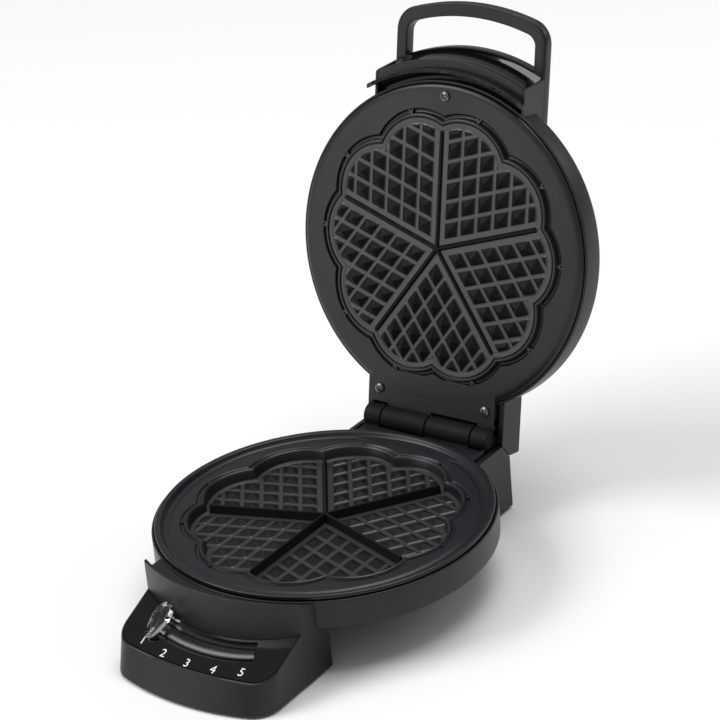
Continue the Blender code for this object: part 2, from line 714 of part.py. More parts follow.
def lid_housing(mats, lid):
    shift = (0, -HINGE_Y, 0)
    top = SHELL_EDGE + LID_DEPTH
    r = SHELL_R
    cup = [(0, SHELL_EDGE), (r, SHELL_EDGE), (r, top - 0.003), (r - 0.0009, top - 0.0009),
           (r - 0.003, top), (0.085, top + 0.0012), (0.045, top + 0.0022), (0, top + 0.0026)]
    shell = new_object("lid_housing", moved(lathe(cup), shift), mats["shell"], lid)
    z_top = HANDLE_Z - GAP
    rings = []
    for z in (LID_BOX_BOTTOM, z_top):
        share = (z - LID_BOX_BOTTOM) / (z_top - LID_BOX_BOTTOM)
        radius = LID_BOX_R + (LID_BOX_FLARE_R - LID_BOX_R) * share
        plan = [(LID_BOX_X, BOX_REAR), (-LID_BOX_X, BOX_REAR)] + arc(radius, -LID_BOX_X, LID_BOX_X, 33)
        rings.append([(x, y, z) for x, y in plan])
    join(shell, moved(loft(rings), shift))
    join(shell, moved(front_sector(0.1122, 0.1146, LID_BOX_X - 0.0012, -0.0030, 0.006), shift))
    join(shell, moved(across(rear_block_side(BLOCK_TOP, LID_BLOCK_HEIGHT, 1), BLOCK_X), shift))
    wall = r - SHELL_WALL
    inside = [(0, -0.01), (r + 0.0004, -0.01), (r + 0.0004, SHELL_EDGE + 0.0001),
              (wall, SHELL_EDGE + 0.0001), (wall, top - FLOOR - 0.001), (0.085, top - FLOOR),
              (0, top - FLOOR + 0.001)]
    cut(shell, moved(lathe(inside), shift))
    edge = BARREL_X + GAP * 2
    cut(shell, moved(block(-edge, edge, 0.088, 0.1225, -0.03, 0.0066), shift))
    cut(shell, rod((-edge, 0, 0), (edge, 0, 0), 0.0092, 32))
    hollow = block_hollow(0.1125, BLOCK_REAR - WALL, BLOCK_X - WALL, 0.012, LID_BLOCK_HEIGHT - WALL)
    cut(shell, moved(hollow, shift))
    half = LID_BOX_X - WALL
    cut(shell, moved(front_sector(0.1092, LID_BOX_R - WALL, half, 0.008, 0.03), shift))
    bosses = [rod((0, -0.0975, UPPER_BACK + GAP), (0, -0.0975, top - 0.001), 0.004)]
    join(shell, moved(merged(bosses), shift))
    posts = [rod((x, HANDLE_SCREW_Y, 0.0075), (x, HANDLE_SCREW_Y, z_top - 0.0002), 0.0032)
             for x in HANDLE_SCREW_X]
    join(shell, moved(merged(posts), shift))
    holes = [rod((x, y, -0.01), (x, y, 0.0165), 0.0018, 16) for x, y in SCREWS]
    holes += [rod((x, HANDLE_SCREW_Y, -0.01), (x, HANDLE_SCREW_Y, 0.04), 0.0018, 16)
              for x in HANDLE_SCREW_X]
    cut(shell, moved(merged(holes), shift))
    return shell


def handle_screw(name, x, mats, lid):
    """Headless screw, sunk in the lid's front box."""
    low = LID_BOX_BOTTOM + 0.001
    profile = [(0, low), (0.0013, low), (0.0013, HANDLE_Z + 0.0055), (0, HANDLE_Z + 0.0055)]
    return new_object(name, moved(lathe(profile, 16), (x, HANDLE_SCREW_Y - HINGE_Y, 0)), mats["steel"], lid)


# ---------------------------------------------------------------- assembly
def empty(name, parent, place, turn=(0, 0, 0)):
    thing = bpy.data.objects.new(name, None)
    bpy.context.collection.objects.link(thing)
    thing.parent = parent
    thing.location = place
    thing.rotation_euler = turn
    return thing


def build_base(mats):
    base_housing(mats)
    control_panel(mats)
    slider_rail(mats)
    thermostat_body(mats)
    covers(mats)
    lower_plate(mats)
    element("lower_element", LOWER_BACK - 0.0034, mats)
    shield("lower_heat_shield", -0.0188, 0.0008, mats)
    for label, x, y in (("front_left", -0.040, -0.128), ("front_right", 0.040, -0.128),
                        ("rear_left", -0.040, 0.108), ("rear_right", 0.040, 0.108)):
        foot(f"foot_{label}", x, y, mats)
    for n, (x, y) in enumerate(LOWER_SCREWS, 1):
        plate_screw(f"lower_plate_screw_{n}", x, y, -SHELL_EDGE - SHELL_DEPTH, -1, 0.015, mats)
    for n, s in enumerate((-1, 1), 1):
        cover_screw(f"box_cover_screw_{n}", s * 0.046, -0.090, mats)
        cover_screw(f"rear_cover_screw_{n}", s * 0.036, 0.121, mats)
    new_object("thermal_fuse", rod((-0.012, 0.036, -0.0146), (0.012, 0.036, -0.0146), 0.003, 16),
               mats["inner"])
    new_object("sensor_bulb", rod((-0.020, -0.034, -0.0146), (0.020, -0.034, -0.0146), 0.0027, 16),
               mats["steel"])
    new_object("terminal_block", block(-0.016, 0.016, 0.104, 0.116, -0.044, -0.032), mats["inner"])
    gland = [(0.0035, 0.1265), (0.0058, 0.1265), (0.0058, BLOCK_REAR + GAP), (0.008, BLOCK_REAR + GAP),
             (0.008, BLOCK_REAR + 0.002), (0.0035, BLOCK_REAR + 0.002)]
    bm = lathe(gland, 24)
    bmesh.ops.transform(bm, matrix=Matrix.Rotation(math.radians(-90), 4, "X"), verts=bm.verts)
    new_object("cord_gland", moved(bm, (0, 0, -0.036)), mats["rubber"])
    new_object("hinge_pin", rod((-BARREL_X + 0.0002, HINGE_Y, 0), (BARREL_X - 0.0002, HINGE_Y, 0), PIN_R),
               mats["steel"])


def build_lid(mats, lid):
    hinge = (0, HINGE_Y, 0)
    upper_plate(mats, lid)
    lid_housing(mats, lid)
    handle_ring(mats, lid)
    element("upper_element", UPPER_BACK + 0.0034, mats, lid, hinge)
    shield("upper_heat_shield", 0.0136, -0.0010, mats, lid, hinge)
    for n, (x, y) in enumerate(SCREWS, 1):
        plate_screw(f"upper_plate_screw_{n}", x, y, LAND_UPPER, -1, 0.0125, mats, lid, hinge)
    for n, x in enumerate(HANDLE_SCREW_X, 1):
        handle_screw(f"handle_screw_{n}", x, mats, lid)


def build_controls(mats, root):
    lean = (PANEL_SLOPE, 0, 0)
    slider = empty("slider_axis", root, slider_centre(), lean)
    turned = empty("slider_turn", slider, (0, 0, 0), (0, 0, -KNOB_ANGLE))
    temperature_knob(mats, turned)
    slider_carriage(mats, turned)
    lamp = rod((0.006, -ARC_R + 0.006, -0.0125), (0.006, -ARC_R + 0.006, -0.0072), 0.0021, 16)
    new_object("pilot_lamp", lamp, mats["lamp"], turned)
    _, up, _ = panel_axes()
    pivot = empty("thermostat_axis", root, Vector((0, *PANEL_MID)) + up * PIVOT_V, lean)
    arm = empty("thermostat_turn", pivot, (0, 0, 0), (0, 0, -KNOB_ANGLE * ARM_RATIO))
    thermostat_arm(mats, arm)


def main():
    clear_scene()
    mats = finishes()
    root = empty("machine", None, (0, PLATE_Y, PARTING_Z))
    build_base(mats)
    for thing in list(bpy.context.collection.objects):
        if thing.parent is None and thing is not root:
            thing.parent = root
    lid = empty("lid_axis", root, (0, HINGE_Y, 0), (-OPEN_ANGLE, 0, 0))
    build_lid(mats, lid)
    build_controls(mats, root)


main()
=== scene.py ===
"""Looks of an open waffle maker with two heart-pattern plates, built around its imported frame.

Lengths are in metres. A plate's own frame has the plates' centre at x = y = 0, the parting plane at
z = 0, the user at -Y and the hinge at +Y. The lid is drawn closed and then turned open.
"""
import json
import math

import bmesh
import bpy
import numpy as np
from bpy.props import FloatProperty, FloatVectorProperty, PointerProperty
from mathutils import Matrix, Vector


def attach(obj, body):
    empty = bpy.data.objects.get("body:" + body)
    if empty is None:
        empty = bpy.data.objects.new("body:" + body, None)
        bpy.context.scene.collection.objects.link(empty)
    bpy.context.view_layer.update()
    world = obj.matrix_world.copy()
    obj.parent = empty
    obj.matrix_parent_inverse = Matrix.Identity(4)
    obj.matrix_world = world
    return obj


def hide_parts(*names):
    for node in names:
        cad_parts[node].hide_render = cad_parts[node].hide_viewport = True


bl_info = {
    "name": "Waffle Maker Looks",
    "version": (1, 0, 0),
    "blender": (4, 5, 0),
    "location": "View3D > Sidebar > Waffle Maker",
    "description": "Plates, housings, handle, controls and studio of a heart-pattern waffle maker",
    "category": "Object",
}

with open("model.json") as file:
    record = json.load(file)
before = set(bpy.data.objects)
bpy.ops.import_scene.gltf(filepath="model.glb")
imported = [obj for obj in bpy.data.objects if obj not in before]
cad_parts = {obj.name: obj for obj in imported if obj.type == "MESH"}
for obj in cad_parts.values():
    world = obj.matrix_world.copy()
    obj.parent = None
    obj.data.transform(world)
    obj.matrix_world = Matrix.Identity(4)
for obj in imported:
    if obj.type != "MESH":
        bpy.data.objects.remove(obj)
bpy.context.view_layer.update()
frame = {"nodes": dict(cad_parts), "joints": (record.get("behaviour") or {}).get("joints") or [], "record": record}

# Placing, taken from the frame's own joints
JOINTS = {joint["name"]: joint for joint in frame["joints"]}
HINGE = np.array(JOINTS["lid_hinge"]["pos_m"])
OPEN_ANGLE = math.radians(JOINTS["lid_hinge"]["range_deg"][1])
SLIDE_CENTRE = np.array(JOINTS["temperature_slide"]["pos_m"])
SLIDE_AXIS = np.array(JOINTS["temperature_slide"]["axis"])
SLIDE_REST = math.radians(JOINTS["temperature_slide"]["range_deg"][1] / 2)
HINGE_Y = 0.119
CENTRE = HINGE - np.array([0, HINGE_Y, 0])

# Plates
PLATE_R = 0.105
SKIRT_R = 0.103
LAND_LOWER = -0.0026
LAND_UPPER = 0.0003
LOWER_BACK = -0.0113
UPPER_BACK = 0.0058
LIP_R = 0.1016
SCREWS = ((0.0406, 0.1004), (-0.0406, 0.1004), (0.0, -0.0975))

# Heart pattern
SECTOR = math.radians(36)
LOBE_SPLAY = math.radians(19.5)
LOBE_CENTRE = 0.0525
CELL_LOBE_R = 0.0285
BAND_LOBE_R = 0.0319
CELL_EDGE = 0.005
HEART_SIDE = 0.0017
PITCH = 0.0122
CHANNEL = 0.0015
FIRST_LINE = 0.0037

# Hinge
KNUCKLE_R = 0.0081
BARREL_X = 0.0475
SIDE_KNUCKLE = 0.0126
KNUCKLE_GAP = 0.0003

# Housings
SHELL_R = 0.107
SHELL_EDGE = 0.0027
SHELL_BOTTOM = -0.0227
LID_TOP = 0.0217
BLOCK_X = 0.0525
BLOCK_CHEEK = 0.0481
BLOCK_REAR = 0.131
BLOCK_TOP = 0.0044
STOP_LEAN = math.radians(39)
BOX_X = 0.0572
BOX_REAR = -0.080
BASE_Z = -0.051
LIP_OUTER = 0.1197
LIP_INNER = 0.1177
LIP_TOP = 0.0032
LIP_FOOT = -0.0238
DECK_R = math.hypot(BOX_X, BOX_REAR)
SHELF = -0.0032
PANEL_SLOPE = math.atan(0.445)
PANEL_MID = (-0.1281, -0.0266)

# Slider
ARC_R = 0.1173
DIGIT_R = 0.1313
DIGIT_STEP = math.radians(8.1)
DIGIT_SHIFT = 0.0091
RAIL_HALF = 0.0043
WELL_HALF = 0.0071

# Lid front and handle
LID_BOX_X = 0.0556
HANDLE_Z = 0.026
HANDLE_TOP = 0.035
HANDLE_R = 0.1538
HANDLE_INNER_R = 0.1447
OPENING_X = 0.0476
CREST_R = 0.126

# Stage: lengths of the camera's view are in drafting units of 1.05 mm
DRAFT_UNIT = 0.00105
VIEW_AZIMUTH = math.radians(36.97)
VIEW_HEIGHT = math.radians(25.23)
VIEW_ROLL = math.radians(-5.33)
VIEW_TARGET = (12.27, 31.47, 84.45)
VIEW_DISTANCE = 1369.49
LENS = 118.8
FLOOR_REACH = 6.0
WORLD_STRENGTH = 0.30


# ---------------------------------------------------------------- properties
class WaffleSizes(bpy.types.PropertyGroup):
    """Sizes of the pressed pattern that a user may change"""

    band_height: FloatProperty(
        name="Band height", description="How far the hearts stand out of the lid's plate",
        default=0.0016, unit="LENGTH")
    roof_height: FloatProperty(
        name="Roof height", description="Height of the roofs in the lid's hearts",
        default=0.0040, unit="LENGTH")
    floor_roof_height: FloatProperty(
        name="Lower roof height", description="Height of the roofs in the lower plate's hearts",
        default=0.0026, unit="LENGTH")
    pocket_depth: FloatProperty(
        name="Pocket depth", description="Depth of the hearts in the lower plate",
        default=0.0065, unit="LENGTH")
    divider_height: FloatProperty(
        name="Divider height", description="How far a divider stands above the hearts' bands",
        default=0.0014, unit="LENGTH")
    digit_size: FloatProperty(
        name="Digit size", description="Size of the scale's digits", default=0.0078, unit="LENGTH")
    edge: FloatProperty(
        name="Edge", description="Width of the rounding on the housings' edges", default=0.0006,
        unit="LENGTH")


class WaffleColours(bpy.types.PropertyGroup):
    """Colours of the finishes"""

    shell: FloatVectorProperty(
        name="Housing", description="Satin heat-proof plastic", subtype="COLOR",
        default=(0.0088, 0.0092, 0.0100))
    gloss: FloatVectorProperty(
        name="Gloss", description="Polished plastic of panel and lid front", subtype="COLOR",
        default=(0.0022, 0.0022, 0.0026))
    coating: FloatVectorProperty(
        name="Coating", description="Non-stick coating", subtype="COLOR",
        default=(0.0085, 0.0095, 0.0122))
    # Painted highlight: a lighter copy of the coating's colour, painted where the hearts' bands, channels, dam
    # ridges and vent ribs catch the light.
    painted_highlight: FloatVectorProperty(
        name="Painted highlight", description="Coating on bands and channels", subtype="COLOR",
        default=(0.0680, 0.0660, 0.0605))
    # Painted shade: a darker copy of the coating's colour, worn by the hearts' roofs, the dividers and the hinge
    # knuckles.
    roof: FloatVectorProperty(
        name="Roofs", description="Coating on the roofs and dividers of the hearts", subtype="COLOR",
        default=(0.0050, 0.0050, 0.0055))
    steel: FloatVectorProperty(
        name="Steel", description="Screws and hinge pin", subtype="COLOR",
        default=(0.20, 0.19, 0.175))
    print: FloatVectorProperty(
        name="Print", description="Digits of the scale", subtype="COLOR", default=(0.85, 0.86, 0.88))


def sizes():
    return bpy.context.scene.waffle_sizes


def colours():
    return bpy.context.scene.waffle_colours


# ---------------------------------------------------------------- surfaces
def surface(grid, around=False, across=False):
    """Quads between neighbouring points of a grid of rows x columns x 3, wrapped where asked."""
    rows, cols = grid.shape[:2]
    index = np.arange(rows * cols).reshape(rows, cols)
    r = np.arange(rows if around else rows - 1)
    c = np.arange(cols if across else cols - 1)
    r2, c2 = (r + 1) % rows, (c + 1) % cols
    quads = np.stack([index[np.ix_(r, c)], index[np.ix_(r2, c)], index[np.ix_(r2, c2)],
                      index[np.ix_(r, c2)]], axis=-1).reshape(-1, 4)
    return grid.reshape(-1, 3), quads.tolist()


def shell(rings):
    """A closed body through rings of equally many points, with a flat cap at each end."""
    grid = np.stack([np.asarray(ring, float) for ring in rings])
    points, faces = surface(grid, across=True)
    count = grid.shape[1]
    last = len(points) - count
    return points, faces + [list(range(count))[::-1], list(range(last, last + count))]


def turned(profile, segments=192, closed=False):
    """The profile's (radius, height) points carried round the Z axis: x = r cos a, y = r sin a."""
    profile = np.asarray(profile, float)
    a = np.linspace(0, 2 * np.pi, segments, endpoint=False)[:, None]
    grid = np.stack([profile[:, 0] * np.cos(a), profile[:, 0] * np.sin(a),
                     np.broadcast_to(profile[:, 1], (segments, len(profile)))], axis=-1)
    return surface(grid, around=True, across=closed)


def sector(section, half, count=61):
    """A closed (radius, height) section carried along the front arc and cut square at x = +-half.

    A point of radius r runs through the angles t asin(half / r), t from -1 to 1.
    """
    section = np.asarray(section, float)
    r, z = section[:, 0], section[:, 1]
    t = np.linspace(-1, 1, count)[:, None]
    a = t * np.arcsin(half / r)
    return shell(np.stack([r * np.sin(a), -r * np.cos(a), np.broadcast_to(z, a.shape)], axis=-1))


def across(side, x0, x1):
    """A (y, z) side view carried along X from x0 to x1."""
    side = np.asarray(side, float)
    return shell([np.column_stack([np.full(len(side), x), side]) for x in (x0, x1)])


def level(outline, z):
    return np.column_stack([outline, np.broadcast_to(z, len(outline))])


def rounded(corners, radii, steps=6):
    """A path whose corners become arcs: each arc is centred on the corner's bisector at r / sin(half)."""
    corners = np.asarray(corners, float)
    path = [corners[0]]
    for before, here, after, r in zip(corners, corners[1:], corners[2:], radii):
        if r <= 0:
            path.append(here)
            continue
        a = (before - here) / np.linalg.norm(before - here)
        b = (after - here) / np.linalg.norm(after - here)
        half = math.acos(np.clip(a @ b, -1, 1)) / 2
        centre = here + (a + b) / np.linalg.norm(a + b) * r / math.sin(half)
        start, end = here + a * r / math.tan(half), here + b * r / math.tan(half)
        a0 = math.atan2(*(start - centre)[::-1])
        turn = (math.atan2(*(end - centre)[::-1]) - a0 + math.pi) % (2 * math.pi) - math.pi
        t = a0 + turn * np.linspace(0, 1, steps + 1)
        path.extend(centre + r * np.column_stack([np.cos(t), np.sin(t)]))
    path.append(corners[-1])
    return np.array(path)


def walled(points, quads, drop):
    """Closes a sheet: a copy moved by `drop` below it and walls along its free edges."""
    quads = np.asarray(quads)
    used = np.unique(quads)
    renumber = np.zeros(len(points), int)
    renumber[used] = np.arange(len(used))
    top, quads = points[used], renumber[quads]
    edges = np.concatenate([quads[:, [i, (i + 1) % 4]] for i in range(4)])
    keys = np.sort(edges, axis=1)
    _, first, counts = np.unique(keys, axis=0, return_index=True, return_counts=True)
    free = edges[first[counts == 1]]
    count = len(top)
    walls = np.column_stack([free[:, 1], free[:, 0], free[:, 0] + count, free[:, 1] + count])
    faces = np.concatenate([quads, quads[:, ::-1] + count, walls])
    bottom = top.copy()
    bottom[:, 2] = drop
    return np.concatenate([top, bottom]), faces.tolist(), used


def on_base(points):
    """From the plates' frame to the row's."""
    return points + CENTRE


def on_lid(points):
    """From the closed lid's frame to the open lid's place: a turn about the hinge."""
    c, s = math.cos(-OPEN_ANGLE), math.sin(-OPEN_ANGLE)
    y, z = points[:, 1] - HINGE_Y, points[:, 2]
    return np.column_stack([points[:, 0], y * c - z * s, y * s + z * c]) + HINGE * (0, 1, 1)


def on_panel(points, turn=0.0):
    """From the slider's frame (Y up the slope, Z out of the panel) to the row's, turned about its axis."""
    c, s = math.cos(turn), math.sin(turn)
    x, y, z = points[:, 0] * c - points[:, 1] * s, points[:, 0] * s + points[:, 1] * c, points[:, 2]
    up = np.array([0, math.cos(PANEL_SLOPE), math.sin(PANEL_SLOPE)])
    return x[:, None] * (1, 0, 0) + y[:, None] * up + z[:, None] * SLIDE_AXIS + SLIDE_CENTRE


def at_rest_knob(points):
    return on_panel(points, -SLIDE_REST)


def make(name, shells, place, body, finish, stands_for=(), edge=0.0, crease=32, relief=None,
         second=None):
    """One piece from closed shells: merged, pointing outwards, and smooth but for its creases.

    `second` is another finish and, for each face, whether it wears that one.
    """
    points, faces, start = [], [], 0
    for shell_points, shell_faces in shells:
        points.append(shell_points)
        faces.extend([[i + start for i in face] for face in shell_faces])
        start += len(shell_points)
    mesh = bpy.data.meshes.new(name)
    mesh.from_pydata(place(np.concatenate(points)).tolist(), [], faces)
    # The "relief" attribute holds each point's painted highlight weight, which the coating mixes in.
    if relief is not None:
        mesh.attributes.new("relief", "FLOAT", "POINT").data.foreach_set("value", relief)
    mesh.materials.append(finish)
    if second is not None:
        mesh.materials.append(second[0])
        mesh.polygons.foreach_set("material_index", np.asarray(second[1], dtype=np.int32))
    bm = bmesh.new()
    bm.from_mesh(mesh)
    bmesh.ops.remove_doubles(bm, verts=bm.verts, dist=2e-6)
    bmesh.ops.recalc_face_normals(bm, faces=bm.faces)
    bm.to_mesh(mesh)
    bm.free()
    mesh.shade_smooth()
    mesh.set_sharp_from_angle(angle=math.radians(crease))
    thing = bpy.data.objects.new(name, mesh)
    bpy.context.scene.collection.objects.link(thing)
    if edge:
        bevel = thing.modifiers.new("Edges", "BEVEL")
        bevel.width = edge
        bevel.segments = 2
        bevel.limit_method = "ANGLE"
        bevel.angle_limit = math.radians(38)
        bevel.harden_normals = True
    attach(thing, body)
    if stands_for:
        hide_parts(*stands_for)
    return thing


# ---------------------------------------------------------------- finishes
def grain_group():
    """Fine moulded or sprayed grain: two noises give a height and a change of roughness."""
    group = bpy.data.node_groups.get("Surface grain")
    if group:
        return group
    group = bpy.data.node_groups.new("Surface grain", "ShaderNodeTree")
    for label, value in (("Grain size", 0.0004), ("Cloud size", 0.05)):
        socket = group.interface.new_socket(label, in_out="INPUT", socket_type="NodeSocketFloat")
        socket.default_value = value
    for label in ("Height", "Cloud", "Speck"):
        group.interface.new_socket(label, in_out="OUTPUT", socket_type="NodeSocketFloat")
    nodes, links = group.nodes, group.links
    given, result = nodes.new("NodeGroupInput"), nodes.new("NodeGroupOutput")
    place = nodes.new("ShaderNodeTexCoord")
    noises = (("Grain size", 2.0, "Height"), ("Cloud size", 4.0, "Cloud"))
    for label, detail, outlet in noises:
        scale = nodes.new("ShaderNodeMath")
        scale.operation = "DIVIDE"
        scale.inputs[0].default_value = 1.0
        noise = nodes.new("ShaderNodeTexNoise")
        noise.inputs["Detail"].default_value = detail
        links.new(given.outputs[label], scale.inputs[1])
        links.new(scale.outputs[0], noise.inputs["Scale"])
        links.new(place.outputs["Object"], noise.inputs["Vector"])
        links.new(noise.outputs["Fac"], result.inputs[outlet])
        if outlet == "Height":
            speck = nodes.new("ShaderNodeMapRange")
            speck.inputs["From Min"].default_value = 0.62
            speck.inputs["From Max"].default_value = 0.72
            links.new(noise.outputs["Fac"], speck.inputs["Value"])
            links.new(speck.outputs["Result"], result.inputs["Speck"])
    return group


def finish(name, colour, roughness, grain=0.0004, bump=0.1, spread=0.08, metallic=0.0, coat=0.0,
           speck=None, raised=None, transmission=0.0, ior=1.5, cloud=0.05, shine=0.5):
    """A moulded, sprayed or metal finish; `spread` is how far the roughness wanders.

    Its name must differ from every material of the frame, which would be returned in its place.
    """
    mat = bpy.data.materials.get(name)
    if mat:
        return mat
    mat = bpy.data.materials.new(name)
    mat.use_nodes = True
    nodes, links = mat.node_tree.nodes, mat.node_tree.links
    shader = nodes["Principled BSDF"]
    shader.inputs["Base Color"].default_value = (*colour, 1)
    shader.inputs["Roughness"].default_value = roughness
    shader.inputs["Metallic"].default_value = metallic
    shader.inputs["Coat Weight"].default_value = coat
    shader.inputs["Coat Roughness"].default_value = 0.03
    shader.inputs["Transmission Weight"].default_value = transmission
    shader.inputs["IOR"].default_value = ior
    shader.inputs["Specular IOR Level"].default_value = shine
    mat.diffuse_color = (*colour, 1)
    group = nodes.new("ShaderNodeGroup")
    group.node_tree = grain_group()
    group.inputs["Grain size"].default_value = grain
    group.inputs["Cloud size"].default_value = cloud
    if spread:
        wander = nodes.new("ShaderNodeMapRange")
        wander.inputs["From Min"].default_value = 0.3
        wander.inputs["From Max"].default_value = 0.7
        wander.inputs["To Min"].default_value = roughness - spread
        wander.inputs["To Max"].default_value = roughness + spread
        links.new(group.outputs["Cloud"], wander.inputs["Value"])
        links.new(wander.outputs["Result"], shader.inputs["Roughness"])
    if bump:
        relief = nodes.new("ShaderNodeBump")
        relief.inputs["Strength"].default_value = bump
        relief.inputs["Distance"].default_value = grain * 0.4
        links.new(group.outputs["Height"], relief.inputs["Height"])
        links.new(relief.outputs["Normal"], shader.inputs["Normal"])
    source = None
    if speck:
        dots = nodes.new("ShaderNodeMix")
        dots.data_type = "RGBA"
        dots.inputs["A"].default_value = (*colour, 1)
        dots.inputs["B"].default_value = (*speck, 1)
        links.new(group.outputs["Speck"], dots.inputs["Factor"])
        source = dots.outputs["Result"]
    # Painted highlight: `raised` is mixed over the colour by the "relief" attribute.
    if raised:
        height = nodes.new("ShaderNodeAttribute")
        height.attribute_name = "relief"
        painted_highlight = nodes.new("ShaderNodeMix")
        painted_highlight.data_type = "RGBA"
        painted_highlight.inputs["A"].default_value = (*colour, 1)
        painted_highlight.inputs["B"].default_value = (*raised, 1)
        if source:
            links.new(source, painted_highlight.inputs["A"])
        links.new(height.outputs["Fac"], painted_highlight.inputs["Factor"])
        source = painted_highlight.outputs["Result"]
    if source:
        links.new(source, shader.inputs["Base Color"])
    return mat


def shell_finish():
    return finish("satin_black_plastic", colours().shell, 0.36, grain=0.00035, bump=0.10, spread=0.05,
                  shine=0.36)


def gloss_finish():
    return finish("polished_black_plastic", colours().gloss, 0.09, grain=0.002, bump=0.01, spread=0.03)


def coating_and_highlight_finish():
    # Coating with the painted highlight mixed in wherever the "relief" attribute asks for it.
    return finish("coating_and_painted_highlight", colours().coating, 0.36, grain=0.0003, bump=0.14, spread=0.05,
                  shine=0.42, speck=(0.020, 0.021, 0.024), raised=colours().painted_highlight)


def painted_shade_finish():
    # A darker, duller copy of the coating: painted shade for the roofs, the dividers and the hinge knuckles.
    return finish("painted_shade_coating", colours().roof, 0.55, grain=0.0003, bump=0.10, spread=0.04, shine=0.16)


def steel_finish():
    return finish("screw_steel", colours().steel, 0.40, grain=0.0004, bump=0.1, spread=0.08, metallic=1.0)


# ---------------------------------------------------------------- heart pattern
def lobe_reach(phi, radius):
    """Distance from the centre to the joined lobes of `radius`, in the direction phi.

    Each lobe is a circle centred LOBE_CENTRE out, so its far side lies at
    c cos d + sqrt(R^2 - (c sin d)^2), d being the angle from its own direction.
    """
    off = (phi + SECTOR) % (2 * SECTOR) - SECTOR
    away = np.abs(off) - LOBE_SPLAY
    return LOBE_CENTRE * np.cos(away) + np.sqrt(radius ** 2 - (LOBE_CENTRE * np.sin(away)) ** 2)


def lobed_rings(stations, columns=720):
    """Rings of a lobed plate: a station is (lobe radius, height) or ("r", circle radius, height)."""
    phi = np.arange(columns) * 2 * np.pi / columns
    rings = []
    for station in stations:
        if station[0] == "r":
            radius, z = np.full(columns, station[1]), station[2]
        else:
            radius, z = lobe_reach(phi, station[0]), station[1]
        angle = phi + math.pi / 2
        rings.append(np.column_stack([radius * np.cos(angle), radius * np.sin(angle),
                                      np.full(columns, z)]))
    return rings


def grid_lines(fine):
    """Distances from a heart's side at which its grid has a line: channel edges and steps between."""
    stops = [HEART_SIDE, HEART_SIDE + 0.0004, CELL_EDGE - 0.0002, CELL_EDGE]
    low = FIRST_LINE + CHANNEL / 2
    start = max(low, CELL_EDGE)
    for n in range(6):
        high = FIRST_LINE + PITCH * (n + 1) - CHANNEL / 2
        stops.extend(np.linspace(start, high, fine + 1)[1:])
        start = high + CHANNEL
        stops.append(start)
    return np.array(stops)


def heart_height(u, v, x, y, axis, roof):
    """Height above the channels: the roof's slope times the distance to the nearest edge of the cell.

    u and v are the distances from the heart's two sides; x, y the place; axis the heart's direction.
    """
    def from_channel(w):
        t = (w - FIRST_LINE) % PITCH
        return np.minimum(t, PITCH - t) - CHANNEL / 2
    inside = np.minimum(np.minimum(from_channel(u), from_channel(v)), np.minimum(u, v) - CELL_EDGE)
    to_lobe = np.full(u.shape, 1.0)
    for sign in (-1, 1):
        a = axis + sign * LOBE_SPLAY
        to_lobe = np.minimum(to_lobe, np.hypot(x - LOBE_CENTRE * math.cos(a),
                                               y - LOBE_CENTRE * math.sin(a)))
    beyond = np.hypot(x, y) > 0.044
    inside = np.where(beyond, np.minimum(inside, CELL_LOBE_R - to_lobe), inside)
    steep = roof / ((PITCH - CHANNEL) / 2)
    return np.clip(inside, 0, None) * steep, np.where(beyond, to_lobe, 0)


def heart_sheets(face_z, up, roof, fine=14):
    """The channels and roofs of all five hearts, the painted highlight weight of each point, and which faces are
    roof and wear painted shade.
    """
    shells, highlight_weights, shaded_roofs = [], [], []
    lines = grid_lines(fine)
    v, u = np.meshgrid(lines, lines)
    stretch = 1 / math.sin(2 * SECTOR)
    for k in range(5):
        axis = math.pi / 2 + 2 * SECTOR * k
        a, b = axis + SECTOR, axis - SECTOR
        x = (math.cos(b) * u + math.cos(a) * v) * stretch
        y = (math.sin(b) * u + math.sin(a) * v) * stretch
        rise, to_lobe = heart_height(u, v, x, y, axis, roof)
        sink = np.clip((to_lobe - CELL_LOBE_R - 0.0002) / 0.0003, 0, 1) * 0.0002
        grid = np.stack([x, y, face_z + up * (rise - sink)], axis=-1)
        points, quads = surface(grid)
        far = to_lobe.reshape(-1)[np.asarray(quads)].max(axis=1)
        kept = np.asarray(quads)[far < CELL_LOBE_R + 0.0022]
        points, faces, used = walled(points, kept, face_z - up * 0.0012)
        shells.append((points, faces))
        # Painted highlight: full weight on the channels, none once 0.4 mm up a roof; faces that stay below 0.6
        # wear the roofs' painted shade.
        light = 1 - np.clip(rise.reshape(-1)[used] / 0.0004, 0, 1)
        light = np.concatenate([light, light])
        highlight_weights.append(light)
        shaded_roofs.append(light[np.asarray(faces)].max(axis=1) < 0.6)
    return shells, np.concatenate(highlight_weights), np.concatenate(shaded_roofs)


def divider_bars(low, top, up, reach):
    """The five ridges between hearts: a trapezium 3.4 wide at its foot, 1.1 at its top."""
    half, crown = HEART_SIDE + 0.00005, 0.00045
    section = [(-half, low), (-crown - 0.0002, top - up * 0.0002), (-crown, top), (crown, top),
               (crown + 0.0002, top - up * 0.0002), (half, low)]
    shells = []
    for k in range(5):
        a = math.pi / 2 + SECTOR + 2 * SECTOR * k
        along, side = np.array([math.cos(a), math.sin(a), 0]), np.array([-math.sin(a), math.cos(a), 0])
        rings = [[along * r + side * s + (0, 0, z) for s, z in section] for r in (0, reach)]
        shells.append(shell(rings))
    return shells


